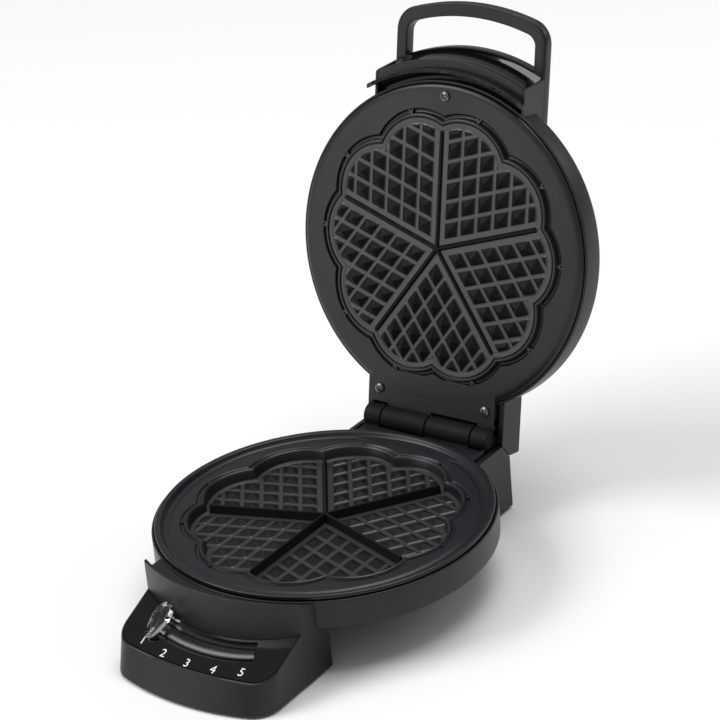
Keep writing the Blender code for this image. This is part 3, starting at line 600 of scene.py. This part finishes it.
def vent_ribs(low, high):
    """Ten small V ribs that cross the moat at the lobes' outermost points."""
    shells = []
    outline = np.array([(-0.0003, 0.0338), (0.0003, 0.0338), (0.0018, 0.0381), (0.0011, 0.0381),
                        (0.0, 0.0358), (-0.0011, 0.0381), (-0.0018, 0.0381)])
    for k in range(5):
        for sign in (-1, 1):
            a = math.pi / 2 + 2 * SECTOR * k + sign * LOBE_SPLAY
            along, side = np.array([math.cos(a), math.sin(a)]), np.array([-math.sin(a), math.cos(a)])
            flat = along * (LOBE_CENTRE + outline[:, 1:]) + side * outline[:, :1]
            shells.append(shell([level(flat, low), level(flat, high)]))
    return shells


def even_highlight(shells, highlight_weight):
    """The same painted highlight weight for all points of the shells."""
    return np.concatenate([np.full(len(points), highlight_weight) for points, _ in shells])


def knuckle(x0, x1):
    """One knuckle of the barrel about the hinge, with a small chamfer at each end."""
    profile = [(0, x0), (KNUCKLE_R - 0.0005, x0), (KNUCKLE_R, x0 + 0.0005), (KNUCKLE_R, x1 - 0.0005),
               (KNUCKLE_R - 0.0005, x1), (0, x1)]
    points, faces = turned(profile, 64)
    return np.column_stack([points[:, 2], points[:, 0] + HINGE_Y, points[:, 1]]), faces


def cuboid(x0, x1, y0, y1, z0, z1):
    return across([(y0, z0), (y1, z0), (y1, z1), (y0, z1)], x0, x1)


def build_upper_plate():
    size = sizes()
    land = LAND_UPPER
    face = land - size.band_height
    stations = [("r", 0.0001, 0.0030), ("r", 0.020, 0.0030), (0.0284, 0.0030),
                (0.0284, face + 0.00015), (0.0286, face),
                (BAND_LOBE_R - 0.0003, face), (BAND_LOBE_R, face + 0.0003), (0.0322, face + 0.0012),
                (0.0327, face + 0.0010), (0.0330, face - 0.0001), (0.0334, face - 0.0003),
                (0.0339, face - 0.0003), (0.0343, face), (0.0347, land + 0.0005), (0.0352, land + 0.0018),
                (0.0358, land + 0.0021), (0.0368, land + 0.0021), (0.0373, land + 0.0017),
                (0.0376, land + 0.0004), (0.0380, land), (0.0384, land),
                ("r", 0.0968, land), ("r", 0.1000, land), ("r", 0.1018, land + 0.0001),
                ("r", 0.1032, land + 0.0004), ("r", 0.1042, land + 0.0009), ("r", 0.1048, land + 0.0015),
                ("r", PLATE_R, land + 0.0021), ("r", PLATE_R, 0.0028), ("r", SKIRT_R, 0.0030),
                ("r", SKIRT_R, UPPER_BACK), ("r", 0.0001, UPPER_BACK)]
    plate = surface(np.stack(lobed_rings(stations)), across=True)
    # Painted highlight weights: 0.85 on the hearts' bands, 0.25 on the dam ridges beside them, none on the moats
    # and the land.
    highlight_weight = np.repeat([0.85 if s[0] != "r" and s[0] < 0.0322 else 0.25 if s[0] != "r" and s[0] < 0.0345
                      else 0.0 for s in stations], 720)
    shells, highlight_weights, shaded_roofs = heart_sheets(face, -1, size.roof_height)
    top = face - size.divider_height
    bars = divider_bars(face + 0.0009, top, -1, 0.0757)
    ribs = vent_ribs(land + 0.0022, land + 0.0002)
    rear = UPPER_BACK - 0.0003
    tongue = [cuboid(-BARREL_X, BARREL_X, 0.086, 0.1095, land + 0.00003, rear)]
    first = (-BARREL_X + SIDE_KNUCKLE + 2 * KNUCKLE_GAP, -KNUCKLE_GAP)
    second = (BARREL_X - SIDE_KNUCKLE, BARREL_X)
    for x0, x1 in (first, second):
        tongue.append(cuboid(x0, x1, 0.104, HINGE_Y - 0.003, land + 0.0003, rear))
    coat = coating_and_highlight_finish()
    make("upper_plate_face", [plate], on_lid, "lid", coat, ("upper_plate",),
         relief=highlight_weight, crease=40)
    make("upper_hearts", shells, on_lid, "lid", coat, ("upper_plate",),
         relief=highlight_weights, crease=20, second=(painted_shade_finish(), shaded_roofs))
    # Painted shade: the dividers wear the darkened coating all over.
    make("upper_dividers", bars, on_lid, "lid", painted_shade_finish(), ("upper_plate",),
         crease=30)
    # Painted highlight: the vent ribs get a weight of 0.9.
    make("upper_vents", ribs, on_lid, "lid", coat, ("upper_plate",),
         relief=even_highlight(ribs, 0.9), crease=30)
    make("upper_tongue", tongue, on_lid, "lid", coat, ("upper_plate",),
         relief=even_highlight(tongue, 0.0), edge=0.0004)
    barrel = [knuckle(*first), knuckle(*second)]
    # Painted shade: the knuckles wear the darkened coating, which tones down the light they catch.
    make("upper_knuckles", barrel, on_lid, "lid", painted_shade_finish(), ("upper_plate",))


def build_lower_plate():
    size = sizes()
    land = LAND_LOWER
    floor = land - size.pocket_depth
    stations = [("r", 0.0001, LOWER_BACK + 0.0008), (0.0284, LOWER_BACK + 0.0008), (0.0284, floor - 0.00015),
                (0.0286, floor), (0.0310, floor), (0.0315, floor + 0.0003), (0.0318, floor + 0.0010),
                (BAND_LOBE_R + 0.0002, land - 0.0006), (0.0324, land - 0.0002), (0.0329, land + 0.0004),
                (0.0336, land + 0.0007), (0.0343, land + 0.0004), (0.0347, land - 0.0004),
                (0.0352, land - 0.0012), (0.0366, land - 0.0012), (0.0371, land - 0.0006),
                (0.0376, land - 0.0001), (0.0380, land), (0.0384, land), ("r", 0.0945, land),
                ("r", 0.0955, land - 0.0002), ("r", 0.0962, land - 0.0007), ("r", 0.0975, land - 0.0008),
                ("r", 0.0988, land - 0.0007), ("r", 0.1000, land), ("r", 0.1008, -0.0010),
                ("r", 0.1013, -0.0003), ("r", LIP_R + 0.0004, 0.0), ("r", 0.1040, 0.0),
                ("r", 0.1046, -0.0002), ("r", PLATE_R, -0.0007), ("r", PLATE_R, -0.0022),
                ("r", SKIRT_R, -0.0024), ("r", SKIRT_R, -0.006), ("r", 0.0925, -0.006),
                ("r", 0.0925, LOWER_BACK), ("r", 0.0001, LOWER_BACK)]
    plate = surface(np.stack(lobed_rings(stations)), across=True)
    # Painted highlight, weaker than on the lid: 0.35 on the pockets' floors, the hearts' channels at 0.35 of their
    # weight, the vent ribs at 0.1, none on the land and rim.
    highlight_weight = np.repeat([0.35 if s[0] != "r" and s[0] < 0.0312 else 0.0 for s in stations], 720)
    shells, highlight_weights, shaded_roofs = heart_sheets(floor, 1, size.floor_roof_height, fine=12)
    top = land - 0.0010
    bars = divider_bars(floor - 0.0005, top, 1, 0.0757)
    ribs = vent_ribs(land - 0.0014, land - 0.0001)
    first = (-BARREL_X, -BARREL_X + SIDE_KNUCKLE)
    second = (KNUCKLE_GAP, BARREL_X - SIDE_KNUCKLE - 2 * KNUCKLE_GAP)
    low = land - 0.0039
    tongue = [cuboid(-BARREL_X, BARREL_X, 0.090, 0.1095, low, land - 0.0002),
              cuboid(BARREL_X - 0.0016, BARREL_X, 0.0945, 0.1095, low, land + 0.0010),
              cuboid(-BARREL_X, -BARREL_X + 0.0016, 0.0945, 0.1095, low, land + 0.0010)]
    for x0, x1 in (first, second):
        tongue.append(cuboid(x0, x1, 0.104, HINGE_Y - 0.003, low, land - 0.0004))
    coat = coating_and_highlight_finish()
    make("lower_plate_face", [plate], on_base, "base", coat, ("lower_plate",),
         relief=highlight_weight, crease=40)
    make("lower_hearts", shells, on_base, "base", coat, ("lower_plate",),
         relief=highlight_weights * 0.35, crease=20, second=(painted_shade_finish(), shaded_roofs))
    # Painted shade: the dividers wear the darkened coating all over.
    make("lower_dividers", bars, on_base, "base", painted_shade_finish(), ("lower_plate",))
    make("lower_vents", ribs, on_base, "base", coat, ("lower_plate",),
         relief=even_highlight(ribs, 0.1))
    make("lower_tongue", tongue, on_base, "base", coat, ("lower_plate",),
         relief=even_highlight(tongue, 0.0), edge=0.0004)
    barrel = [knuckle(*first), knuckle(*second)]
    # Painted shade: the knuckles wear the darkened coating, which tones down the light they catch.
    make("lower_knuckles", barrel, on_base, "base", painted_shade_finish(), ("lower_plate",))


def screw_head(x, y, z, up, turn):
    """Pan head with a cross recess: height over (radius, angle) is a dome less a cross 0.9 wide."""
    r = np.array([0, 0.0003, 0.0006, 0.0009, 0.0012, 0.0015, 0.0018, 0.0020, 0.0022, 0.0026, 0.0030, 0.0032])
    a = np.linspace(0, 2 * np.pi, 96, endpoint=False)[:, None]
    px, py = r * np.cos(a), r * np.sin(a)
    dome = 0.0021 - 0.0011 * (r / 0.0032) ** 2.6 + 0 * a
    cross = np.minimum(np.maximum(np.abs(px) - 0.00045, np.abs(py) - 0.0019),
                       np.maximum(np.abs(py) - 0.00045, np.abs(px) - 0.0019))
    height = dome - 0.0011 * np.clip(-cross / 0.0002 + 0.5, 0, 1)
    c, s = math.cos(turn), math.sin(turn)
    head = np.stack([px * c - py * s, px * s + py * c, height], axis=-1)
    skirt = head[:, -1:].copy()
    skirt[:, :, 2] = 0
    foot = skirt * (0, 0, 1)
    grid = np.concatenate([head, skirt, foot], axis=1)
    points, faces = surface(grid, around=True)
    points[:, 2] = z + up * points[:, 2]
    return points + (x, y, 0), faces


def build_screws():
    steel = steel_finish()
    for n, (x, y) in enumerate(SCREWS, 1):
        turn = 0.4 + 0.7 * n
        make(f"upper_screw_head_{n}", [screw_head(x, y, LAND_UPPER - 0.0001, -1, turn)], on_lid, "lid",
             steel, (f"upper_plate_screw_{n}",))


# ---------------------------------------------------------------- housings
def plan(front, front_r, inset=0.0, rear=BOX_REAR, half=BOX_X, corner=0.014):
    """Plan of a box with a bowed front: straight sides, and front corners rounded by `corner`."""
    x, corner = half - inset, max(corner - inset, 0.0005)
    bow = front_r - (front - inset)
    cx = x - corner
    cy = bow - math.sqrt((front_r - corner) ** 2 - cx ** 2)
    start = math.atan2(cy - bow, cx)
    left, right = np.linspace(math.pi, math.pi - start, 11), np.linspace(start, 0, 11)
    middle = np.linspace(-math.pi - start, start, 33)[1:-1]
    return np.concatenate([
        [(x, rear), (-x, rear)],
        np.column_stack([-cx + corner * np.cos(left), cy + corner * np.sin(left)]),
        np.column_stack([front_r * np.cos(middle), bow + front_r * np.sin(middle)]),
        np.column_stack([cx + corner * np.cos(right), cy + corner * np.sin(right)])])


def panel_level(outline, lift):
    """The outline laid on the slanted panel plane, lifted by `lift`."""
    z = PANEL_MID[1] + math.tan(PANEL_SLOPE) * (outline[:, 1] - PANEL_MID[0])
    return level(outline, z + lift)


def rear_side(top, far, sign):
    """Side view of a rear block whose chamfer passes through the hinge's axis."""
    slope = (math.cos(STOP_LEAN), -sign * math.sin(STOP_LEAN))
    reach = -0.00015
    near = sign * top
    meet = HINGE_Y + (reach - slope[1] * near) / slope[0]
    low = (reach - slope[0] * (BLOCK_REAR - HINGE_Y)) / slope[1]
    return [(0.090, far), (0.090, near), (meet, near), (BLOCK_REAR, low), (BLOCK_REAR, far)]


def rear_block(far, sign):
    """Two cheeks and the body between them, hollowed for the barrel."""
    side = rear_side(BLOCK_TOP, far, sign)
    shells = [across(side, s * BLOCK_CHEEK, s * BLOCK_X) for s in (-1, 1)]
    a = np.radians(np.linspace(90, 128, 8))
    hollow = [(HINGE_Y - 0.0092 * math.cos(t), sign * 0.0092 * math.sin(t)) for t in a]
    body = [(0.0905, far - sign * 0.0001), (0.0905, sign * 0.0092), *hollow,
            (BLOCK_REAR - 0.0001, side[3][1]), (BLOCK_REAR - 0.0001, far - sign * 0.0001)]
    shells.append(across(body, -BLOCK_CHEEK - 0.001, BLOCK_CHEEK + 0.001))
    return shells


def build_base():
    dark = shell_finish()
    edge = sizes().edge
    wall = rounded([(0.0001, SHELL_BOTTOM), (SHELL_R, SHELL_BOTTOM), (SHELL_R, -SHELL_EDGE),
                    (0.1053, -SHELL_EDGE), (0.1053, -0.0190), (0.0001, -0.0190)],
                   [0.0030, 0.0006, 0.0006, 0, 0])
    make("base_bowl", [turned(wall, 256)], on_base, "base", dark, ("base_housing",))
    low = plan(0.155, 0.155, corner=0.018)
    high = plan(0.1445, 0.33)
    seat = plan(0.1445, 0.33, 0.0012)
    box = [shell([level(low, BASE_Z), panel_level(high, 0), panel_level(seat, 0),
                  panel_level(seat, -0.0034)])]
    make("control_box", box, on_base, "base", dark, ("base_housing",), edge=edge)
    rim, shelf = LIP_OUTER - 0.0006, SHELF - 0.0004
    deck = [(LIP_INNER - 0.0003, shelf), (rim, shelf - 0.0006), (rim, shelf - 0.0026),
            (DECK_R, shelf - 0.0026), (DECK_R, shelf)]
    front = -math.sqrt(rim ** 2 - BOX_X ** 2)
    skins = [cuboid(s * (BOX_X - 0.0016), s * (BOX_X + 0.00004), front, BOX_REAR, BASE_Z, shelf - 0.0002)
             for s in (-1, 1)]
    make("base_deck", [sector(deck, BOX_X + 0.00002), *skins], on_base, "base", dark,
         ("base_housing",))
    lip = [(LIP_INNER, LIP_TOP), (LIP_OUTER, LIP_TOP), (LIP_OUTER, LIP_FOOT), (LIP_INNER, LIP_FOOT)]
    make("front_lip", [sector(lip, BOX_X)], on_base, "base", dark, ("base_housing",),
         edge=edge)
    make("base_rear_block", rear_block(BASE_Z, -1), on_base, "base", dark,
         ("base_housing",), edge=edge)


def build_lid():
    dark = shell_finish()
    edge = sizes().edge
    wall = rounded([(0.0001, LID_TOP + 0.0026), (0.060, LID_TOP + 0.0020), (SHELL_R, LID_TOP),
                    (SHELL_R, SHELL_EDGE), (0.1053, SHELL_EDGE), (0.1053, 0.0180), (0.0001, 0.0180)],
                   [0.05, 0.0045, 0.0006, 0.0006, 0, 0])
    make("lid_shell", [turned(wall, 256)], on_lid, "lid", dark, ("lid_housing",))
    make("lid_rear_block", rear_block(0.026, 1), on_lid, "lid", dark,
         ("lid_housing",), edge=edge)
    half = LID_BOX_X
    band = [(0.1146, 0.0035), (0.1202, 0.0035), (0.1202, 0.0052), (0.1160, 0.0080), (0.0990, 0.0200),
            (0.0990, 0.0095), (0.1092, 0.0095)]
    lip = [(0.1122, -0.0030), (0.1146, -0.0030), (0.1146, 0.0060), (0.1122, 0.0060)]
    lug = [(0.1122, -0.0030), (0.1146, -0.0030), (0.1146, 0.0005), (0.1122, 0.0005)]
    front = [sector(band, half - 0.0018), sector(lip, half - 0.0012), sector(lug, half + 0.0022, 65)]
    make("lid_front_band", front, on_lid, "lid", dark, ("lid_housing",), edge=edge * 0.7)
    trough = rounded([(0.1200, 0.0045), (0.1188, 0.0110), (0.1212, 0.0200), (0.1256, 0.0262),
                      (0.1262, HANDLE_TOP), (0.100, HANDLE_TOP), (0.100, 0.0050)],
                     [0.02, 0.02, 0.006, 0.0022, 0], 10)
    make("lid_front_gloss", [sector(trough[:-1], half - 0.0017)], on_lid, "lid", gloss_finish(),
         ("lid_housing",), crease=50)
    cheeks = []
    for s in (-1, 1):
        side = [(-0.080, 0.0035), (-0.1069, 0.0035), (-0.1080, 0.0060), (-0.1120, HANDLE_Z + 0.0002),
                (-0.1120, HANDLE_Z + 0.004), (-0.080, HANDLE_Z + 0.004)]
        cheeks.append(across(side, s * (half - 0.0019), s * (half - 0.00004)))
    make("lid_front_cheeks", cheeks, on_lid, "lid", dark, ("lid_housing",), edge=0.0004)


def build_handle():
    """A loop between two like plans: at each point of them a rounded section spans the two."""
    outer = plan(HANDLE_R, HANDLE_R, rear=-0.079, half=LID_BOX_X, corner=0.016)[2:]
    inner = plan(HANDLE_INNER_R, HANDLE_INNER_R, rear=-0.079, half=OPENING_X, corner=0.008)[2:]
    outer = np.concatenate([[(-LID_BOX_X, -0.079)], outer, [(LID_BOX_X, -0.079)]])
    inner = np.concatenate([[(-OPENING_X, -0.079)], inner, [(OPENING_X, -0.079)]])
    section = rounded([(0.5, 0), (0, 0), (0, 1), (1, 1), (1, 0), (0.5, 0)], [0.09, 0.18, 0.28, 0.14], 4)[:-1]
    share, rise = section[:, 0][None, :, None], section[:, 1]
    flat = inner[:, None] + (outer - inner)[:, None] * share
    z = HANDLE_Z + (HANDLE_TOP - HANDLE_Z) * rise
    rings = np.concatenate([flat, np.broadcast_to(z[None, :, None], (*flat.shape[:2], 1))], axis=2)
    deck = sector([(CREST_R - 0.002, HANDLE_TOP - 0.0002), (CREST_R - 0.002, 0.028), (0.079, 0.0215),
                   (0.079, 0.0245)], OPENING_X + 0.003)
    make("handle_loop", [shell(rings), deck], on_lid, "lid", shell_finish(), ("handle",),
         crease=28)


# ---------------------------------------------------------------- controls
def arc_sweep(section, half_angle, count=61):
    """A closed (radius, height) section carried round the slider's axis, in the slider's frame."""
    section = np.asarray(section, float)
    a = np.linspace(-half_angle, half_angle, count)[:, None]
    r = section[:, 0]
    height = np.broadcast_to(section[:, 1], a.shape[:1] + r.shape)
    return shell(np.stack([r * np.sin(a), -r * np.cos(a), height], axis=-1))


def build_rail():
    t = np.linspace(0, np.pi, 17)
    crown = np.column_stack([ARC_R + RAIL_HALF * np.cos(t), -0.0026 + 0.0017 * np.sin(t)])
    section = np.concatenate([crown, [(ARC_R - RAIL_HALF, -0.0042), (ARC_R + RAIL_HALF, -0.0042)]])
    satin = finish("rail_plastic", colours().gloss, 0.26, grain=0.002, bump=0.01, spread=0.03)
    make("rail", [arc_sweep(section, math.radians(17.5))], on_panel, "base", satin,
         ("slider_rail",))
    well = [(ARC_R - WELL_HALF, -0.0044), (ARC_R + WELL_HALF, -0.0044), (ARC_R + WELL_HALF, -0.0052),
            (ARC_R - WELL_HALF, -0.0052)]
    make("rail_well", [arc_sweep(well, math.radians(18.1))], on_panel, "base", shell_finish(),
         ("slider_rail",))


def build_knob():
    """Clear pointer: along its length t the half width and height change, and a fin narrows its top."""
    t = np.linspace(0, 1, 41)
    along = -0.0112 + 0.0226 * t
    half = np.interp(t, [0, 0.03, 0.12, 0.35, 0.60, 0.80, 0.93, 1],
                     [0.0018, 0.0036, 0.0052, 0.0062, 0.0062, 0.0054, 0.0040, 0.0020])
    low = np.interp(t, [0, 0.1, 0.3, 1], [0.0064, 0.0036, 0.0009, 0.0006])
    high = np.interp(t, [0, 0.06, 0.2, 0.42, 0.62, 0.82, 1],
                     [0.0092, 0.0112, 0.0122, 0.0118, 0.0094, 0.0062, 0.0036])
    a = np.linspace(0, 2 * np.pi, 40, endpoint=False)
    tall = (1 + np.sin(a)) / 2
    waist = 1 - 0.42 * np.clip((tall - 0.30) / 0.35, 0, 1) ** 1.3
    x = half[:, None] * np.sign(np.cos(a)) * np.abs(np.cos(a)) ** 0.75 * waist
    z = low[:, None] + (high - low)[:, None] * tall
    y = np.broadcast_to((-ARC_R - along)[:, None], x.shape)
    body = shell(np.stack([x, y, z], axis=-1))
    stem = across([(-ARC_R + 0.0035, -0.0065), (-ARC_R + 0.0059, -0.0065), (-ARC_R + 0.0059, 0.0030),
                   (-ARC_R + 0.0035, 0.0030)], -0.0025, 0.0025)
    clear = finish("clear_pointer", (0.96, 0.97, 0.98), 0.03, bump=0, spread=0, transmission=1.0, ior=1.36)
    make("pointer_knob", [body, stem], at_rest_knob, "slider", clear, ("temperature_knob",),
         crease=50)


def build_digits():
    """Digits 1 to 5, one step of the scale apart, printed a hair above the panel."""
    ink = finish("scale_print", colours().print, 0.45, bump=0, spread=0.02)
    for n in range(5):
        angle = (n - 2) * DIGIT_STEP - DIGIT_SHIFT
        curve = bpy.data.curves.new(f"digit_{n + 1}", "FONT")
        curve.body = str(n + 1)
        curve.size = sizes().digit_size
        curve.align_x, curve.align_y = "CENTER", "CENTER"
        curve.extrude = 0.00003
        draft = bpy.data.objects.new("digit_draft", curve)
        bpy.context.scene.collection.objects.link(draft)
        bpy.context.view_layer.update()
        mesh = bpy.data.meshes.new_from_object(draft.evaluated_get(bpy.context.evaluated_depsgraph_get()))
        points = np.zeros(len(mesh.vertices) * 3)
        mesh.vertices.foreach_get("co", points)
        faces = [list(face.vertices) for face in mesh.polygons]
        bpy.data.objects.remove(draft)
        bpy.data.meshes.remove(mesh)
        points = points.reshape(-1, 3) + (DIGIT_R * math.sin(angle), -DIGIT_R * math.cos(angle), 0.00006)
        make(f"digit_{n + 1}", [(points, faces)], on_panel, "base", ink)


def dress_nodes():
    """Gives every CAD part that stays its own finish."""
    dark, gloss, steel = shell_finish(), gloss_finish(), steel_finish()
    inner = finish("inner_moulding", (0.70, 0.68, 0.62), 0.5, bump=0.1, spread=0.05)
    rubber = finish("foot_rubber", (0.02, 0.02, 0.02), 0.75, grain=0.0006, bump=0.25, spread=0.08)
    lamp = finish("lamp_glass", (0.55, 0.04, 0.02), 0.15, bump=0, spread=0.03, transmission=0.4)
    by_slot = {"black_shell": dark, "black_gloss": gloss, "non_stick_coating": coating_and_highlight_finish(),
               "steel": steel, "clear_plastic": lamp, "rubber": rubber, "inner_plastic": inner,
               "lamp_lens": lamp}
    slots = {row["node"]: row["material_slot"] for row in frame["record"]["subparts"]}
    for name, node in frame["nodes"].items():
        node.data.materials.clear()
        node.data.materials.append(by_slot[slots[name]])


# ---------------------------------------------------------------- stage
def area(name, place, aim, size, power, colour=(1, 1, 1)):
    lamp = bpy.data.lights.new(name, "AREA")
    lamp.shape, lamp.size, lamp.size_y = "RECTANGLE", size[0], size[1]
    lamp.energy, lamp.color = power, colour
    thing = bpy.data.objects.new(name, lamp)
    bpy.context.scene.collection.objects.link(thing)
    thing.location = place
    thing.rotation_euler = (Vector(aim) - Vector(place)).to_track_quat("-Z", "Y").to_euler()


def build_stage():
    scene = bpy.context.scene
    mesh = bpy.data.meshes.new("floor")
    corners = [(x * FLOOR_REACH, y * FLOOR_REACH, 0) for x, y in ((-1, -1), (1, -1), (1, 1), (-1, 1))]
    mesh.from_pydata(corners, [], [(0, 1, 2, 3)])
    floor = bpy.data.objects.new("floor", mesh)
    mesh.materials.append(finish("pale_floor", (0.90, 0.90, 0.90), 0.6, bump=0, spread=0))
    scene.collection.objects.link(floor)
    world = bpy.data.worlds.new("studio")
    world.use_nodes = True
    background = world.node_tree.nodes["Background"]
    background.inputs["Color"].default_value = (1, 1, 1, 1)
    background.inputs["Strength"].default_value = WORLD_STRENGTH
    scene.world = world
    scene.view_settings.view_transform = "Standard"
    area("key", (-2.4, -2.1, 3.4), (0, 0, 0.1), (2.1, 2.1), 105)
    area("top", (0.3, 0.9, 4.0), (0, 0.2, 0.1), (3.0, 2.2), 95)
    area("low", (-1.5, -2.2, 0.55), (0, 0, 0.2), (1.3, 0.9), 6)
    area("rim", (1.5, 2.6, 1.6), (0, 0.05, 0.2), (1.2, 1.2), 10)


def build_camera():
    """The camera looks back along `away`, and is rolled about it."""
    az, el, roll = VIEW_AZIMUTH, VIEW_HEIGHT, VIEW_ROLL
    away = np.array([math.sin(az) * math.cos(el), -math.cos(az) * math.cos(el), math.sin(el)])
    place = np.array(VIEW_TARGET) * DRAFT_UNIT + CENTRE + away * VIEW_DISTANCE * DRAFT_UNIT
    level_right = np.array([math.cos(az), math.sin(az), 0])
    level_up = np.cross(away, level_right)
    right = level_right * math.cos(roll) + level_up * math.sin(roll)
    up = -level_right * math.sin(roll) + level_up * math.cos(roll)
    lens = bpy.data.cameras.new("camera")
    lens.sensor_width = 36.0
    lens.lens = LENS
    lens.clip_start, lens.clip_end = 0.05, 50
    camera = bpy.data.objects.new("camera", lens)
    camera.matrix_world = Matrix(np.vstack([np.column_stack([right, up, away, place]),
                                            [0, 0, 0, 1]]).tolist())
    bpy.context.scene.collection.objects.link(camera)
    bpy.context.scene.camera = camera


# ---------------------------------------------------------------- operators
class WaffleOperator:
    """What all the builders share: an undo step, and a run of their builder functions."""

    bl_options = {"REGISTER", "UNDO"}
    builders = ()

    def execute(self, context):
        for builder in self.builders:
            builder()
        return {"FINISHED"}


class WAFFLE_OT_finishes(WaffleOperator, bpy.types.Operator):
    """Give the frame's own parts their finishes"""

    bl_idname = "waffle.finishes"
    bl_label = "Finish the frame's parts"
    builders = (dress_nodes,)


class WAFFLE_OT_lower_plate(WaffleOperator, bpy.types.Operator):
    """Build the lower plate with its pockets, rim and knuckles"""

    bl_idname = "waffle.lower_plate"
    bl_label = "Lower plate"
    builders = (build_lower_plate,)


class WAFFLE_OT_upper_plate(WaffleOperator, bpy.types.Operator):
    """Build the lid's plate with its raised hearts, dividers and moat"""

    bl_idname = "waffle.upper_plate"
    bl_label = "Upper plate"
    builders = (build_upper_plate,)


class WAFFLE_OT_screws(WaffleOperator, bpy.types.Operator):
    """Build the cross-recess screws that hold the plates"""

    bl_idname = "waffle.screws"
    bl_label = "Screws"
    builders = (build_screws,)


class WAFFLE_OT_base(WaffleOperator, bpy.types.Operator):
    """Build the base's bowl, control box, front lip and rear block"""

    bl_idname = "waffle.base"
    bl_label = "Base housing"
    builders = (build_base,)


class WAFFLE_OT_lid(WaffleOperator, bpy.types.Operator):
    """Build the lid's shell, front box and rear block"""

    bl_idname = "waffle.lid"
    bl_label = "Lid housing"
    builders = (build_lid,)


class WAFFLE_OT_handle(WaffleOperator, bpy.types.Operator):
    """Build the loop handle"""

    bl_idname = "waffle.handle"
    bl_label = "Handle"
    builders = (build_handle,)


class WAFFLE_OT_controls(WaffleOperator, bpy.types.Operator):
    """Build the slider's rail, its clear knob and the scale's digits"""

    bl_idname = "waffle.controls"
    bl_label = "Controls"
    builders = (build_rail, build_knob, build_digits)


class WAFFLE_OT_stage(WaffleOperator, bpy.types.Operator):
    """Build the floor, lights and camera"""

    bl_idname = "waffle.stage"
    bl_label = "Stage"
    builders = (build_stage, build_camera)


BUILDERS = (WAFFLE_OT_finishes, WAFFLE_OT_lower_plate, WAFFLE_OT_upper_plate, WAFFLE_OT_screws,
            WAFFLE_OT_base, WAFFLE_OT_lid, WAFFLE_OT_handle, WAFFLE_OT_controls, WAFFLE_OT_stage)


class WAFFLE_PT_panel(bpy.types.Panel):
    """Lists the builders in the order in which they run"""

    bl_idname = "WAFFLE_PT_panel"
    bl_label = "Waffle Maker"
    bl_space_type = "VIEW_3D"
    bl_region_type = "UI"
    bl_category = "Waffle Maker"

    def draw(self, context):
        for group in (context.scene.waffle_sizes, context.scene.waffle_colours):
            for label in group.__annotations__:
                self.layout.prop(group, label)
        for builder in BUILDERS:
            self.layout.operator(builder.bl_idname)


CLASSES = (WaffleSizes, WaffleColours, *BUILDERS, WAFFLE_PT_panel)


def register():
    for item in CLASSES:
        bpy.utils.register_class(item)
    bpy.types.Scene.waffle_sizes = PointerProperty(type=WaffleSizes)
    bpy.types.Scene.waffle_colours = PointerProperty(type=WaffleColours)


def unregister():
    del bpy.types.Scene.waffle_colours
    del bpy.types.Scene.waffle_sizes
    for item in reversed(CLASSES):
        bpy.utils.unregister_class(item)


def main():
    register()
    for builder in BUILDERS:
        group, _, label = builder.bl_idname.partition(".")
        getattr(getattr(bpy.ops, group), label)()


if __name__ == "__main__":
    main()
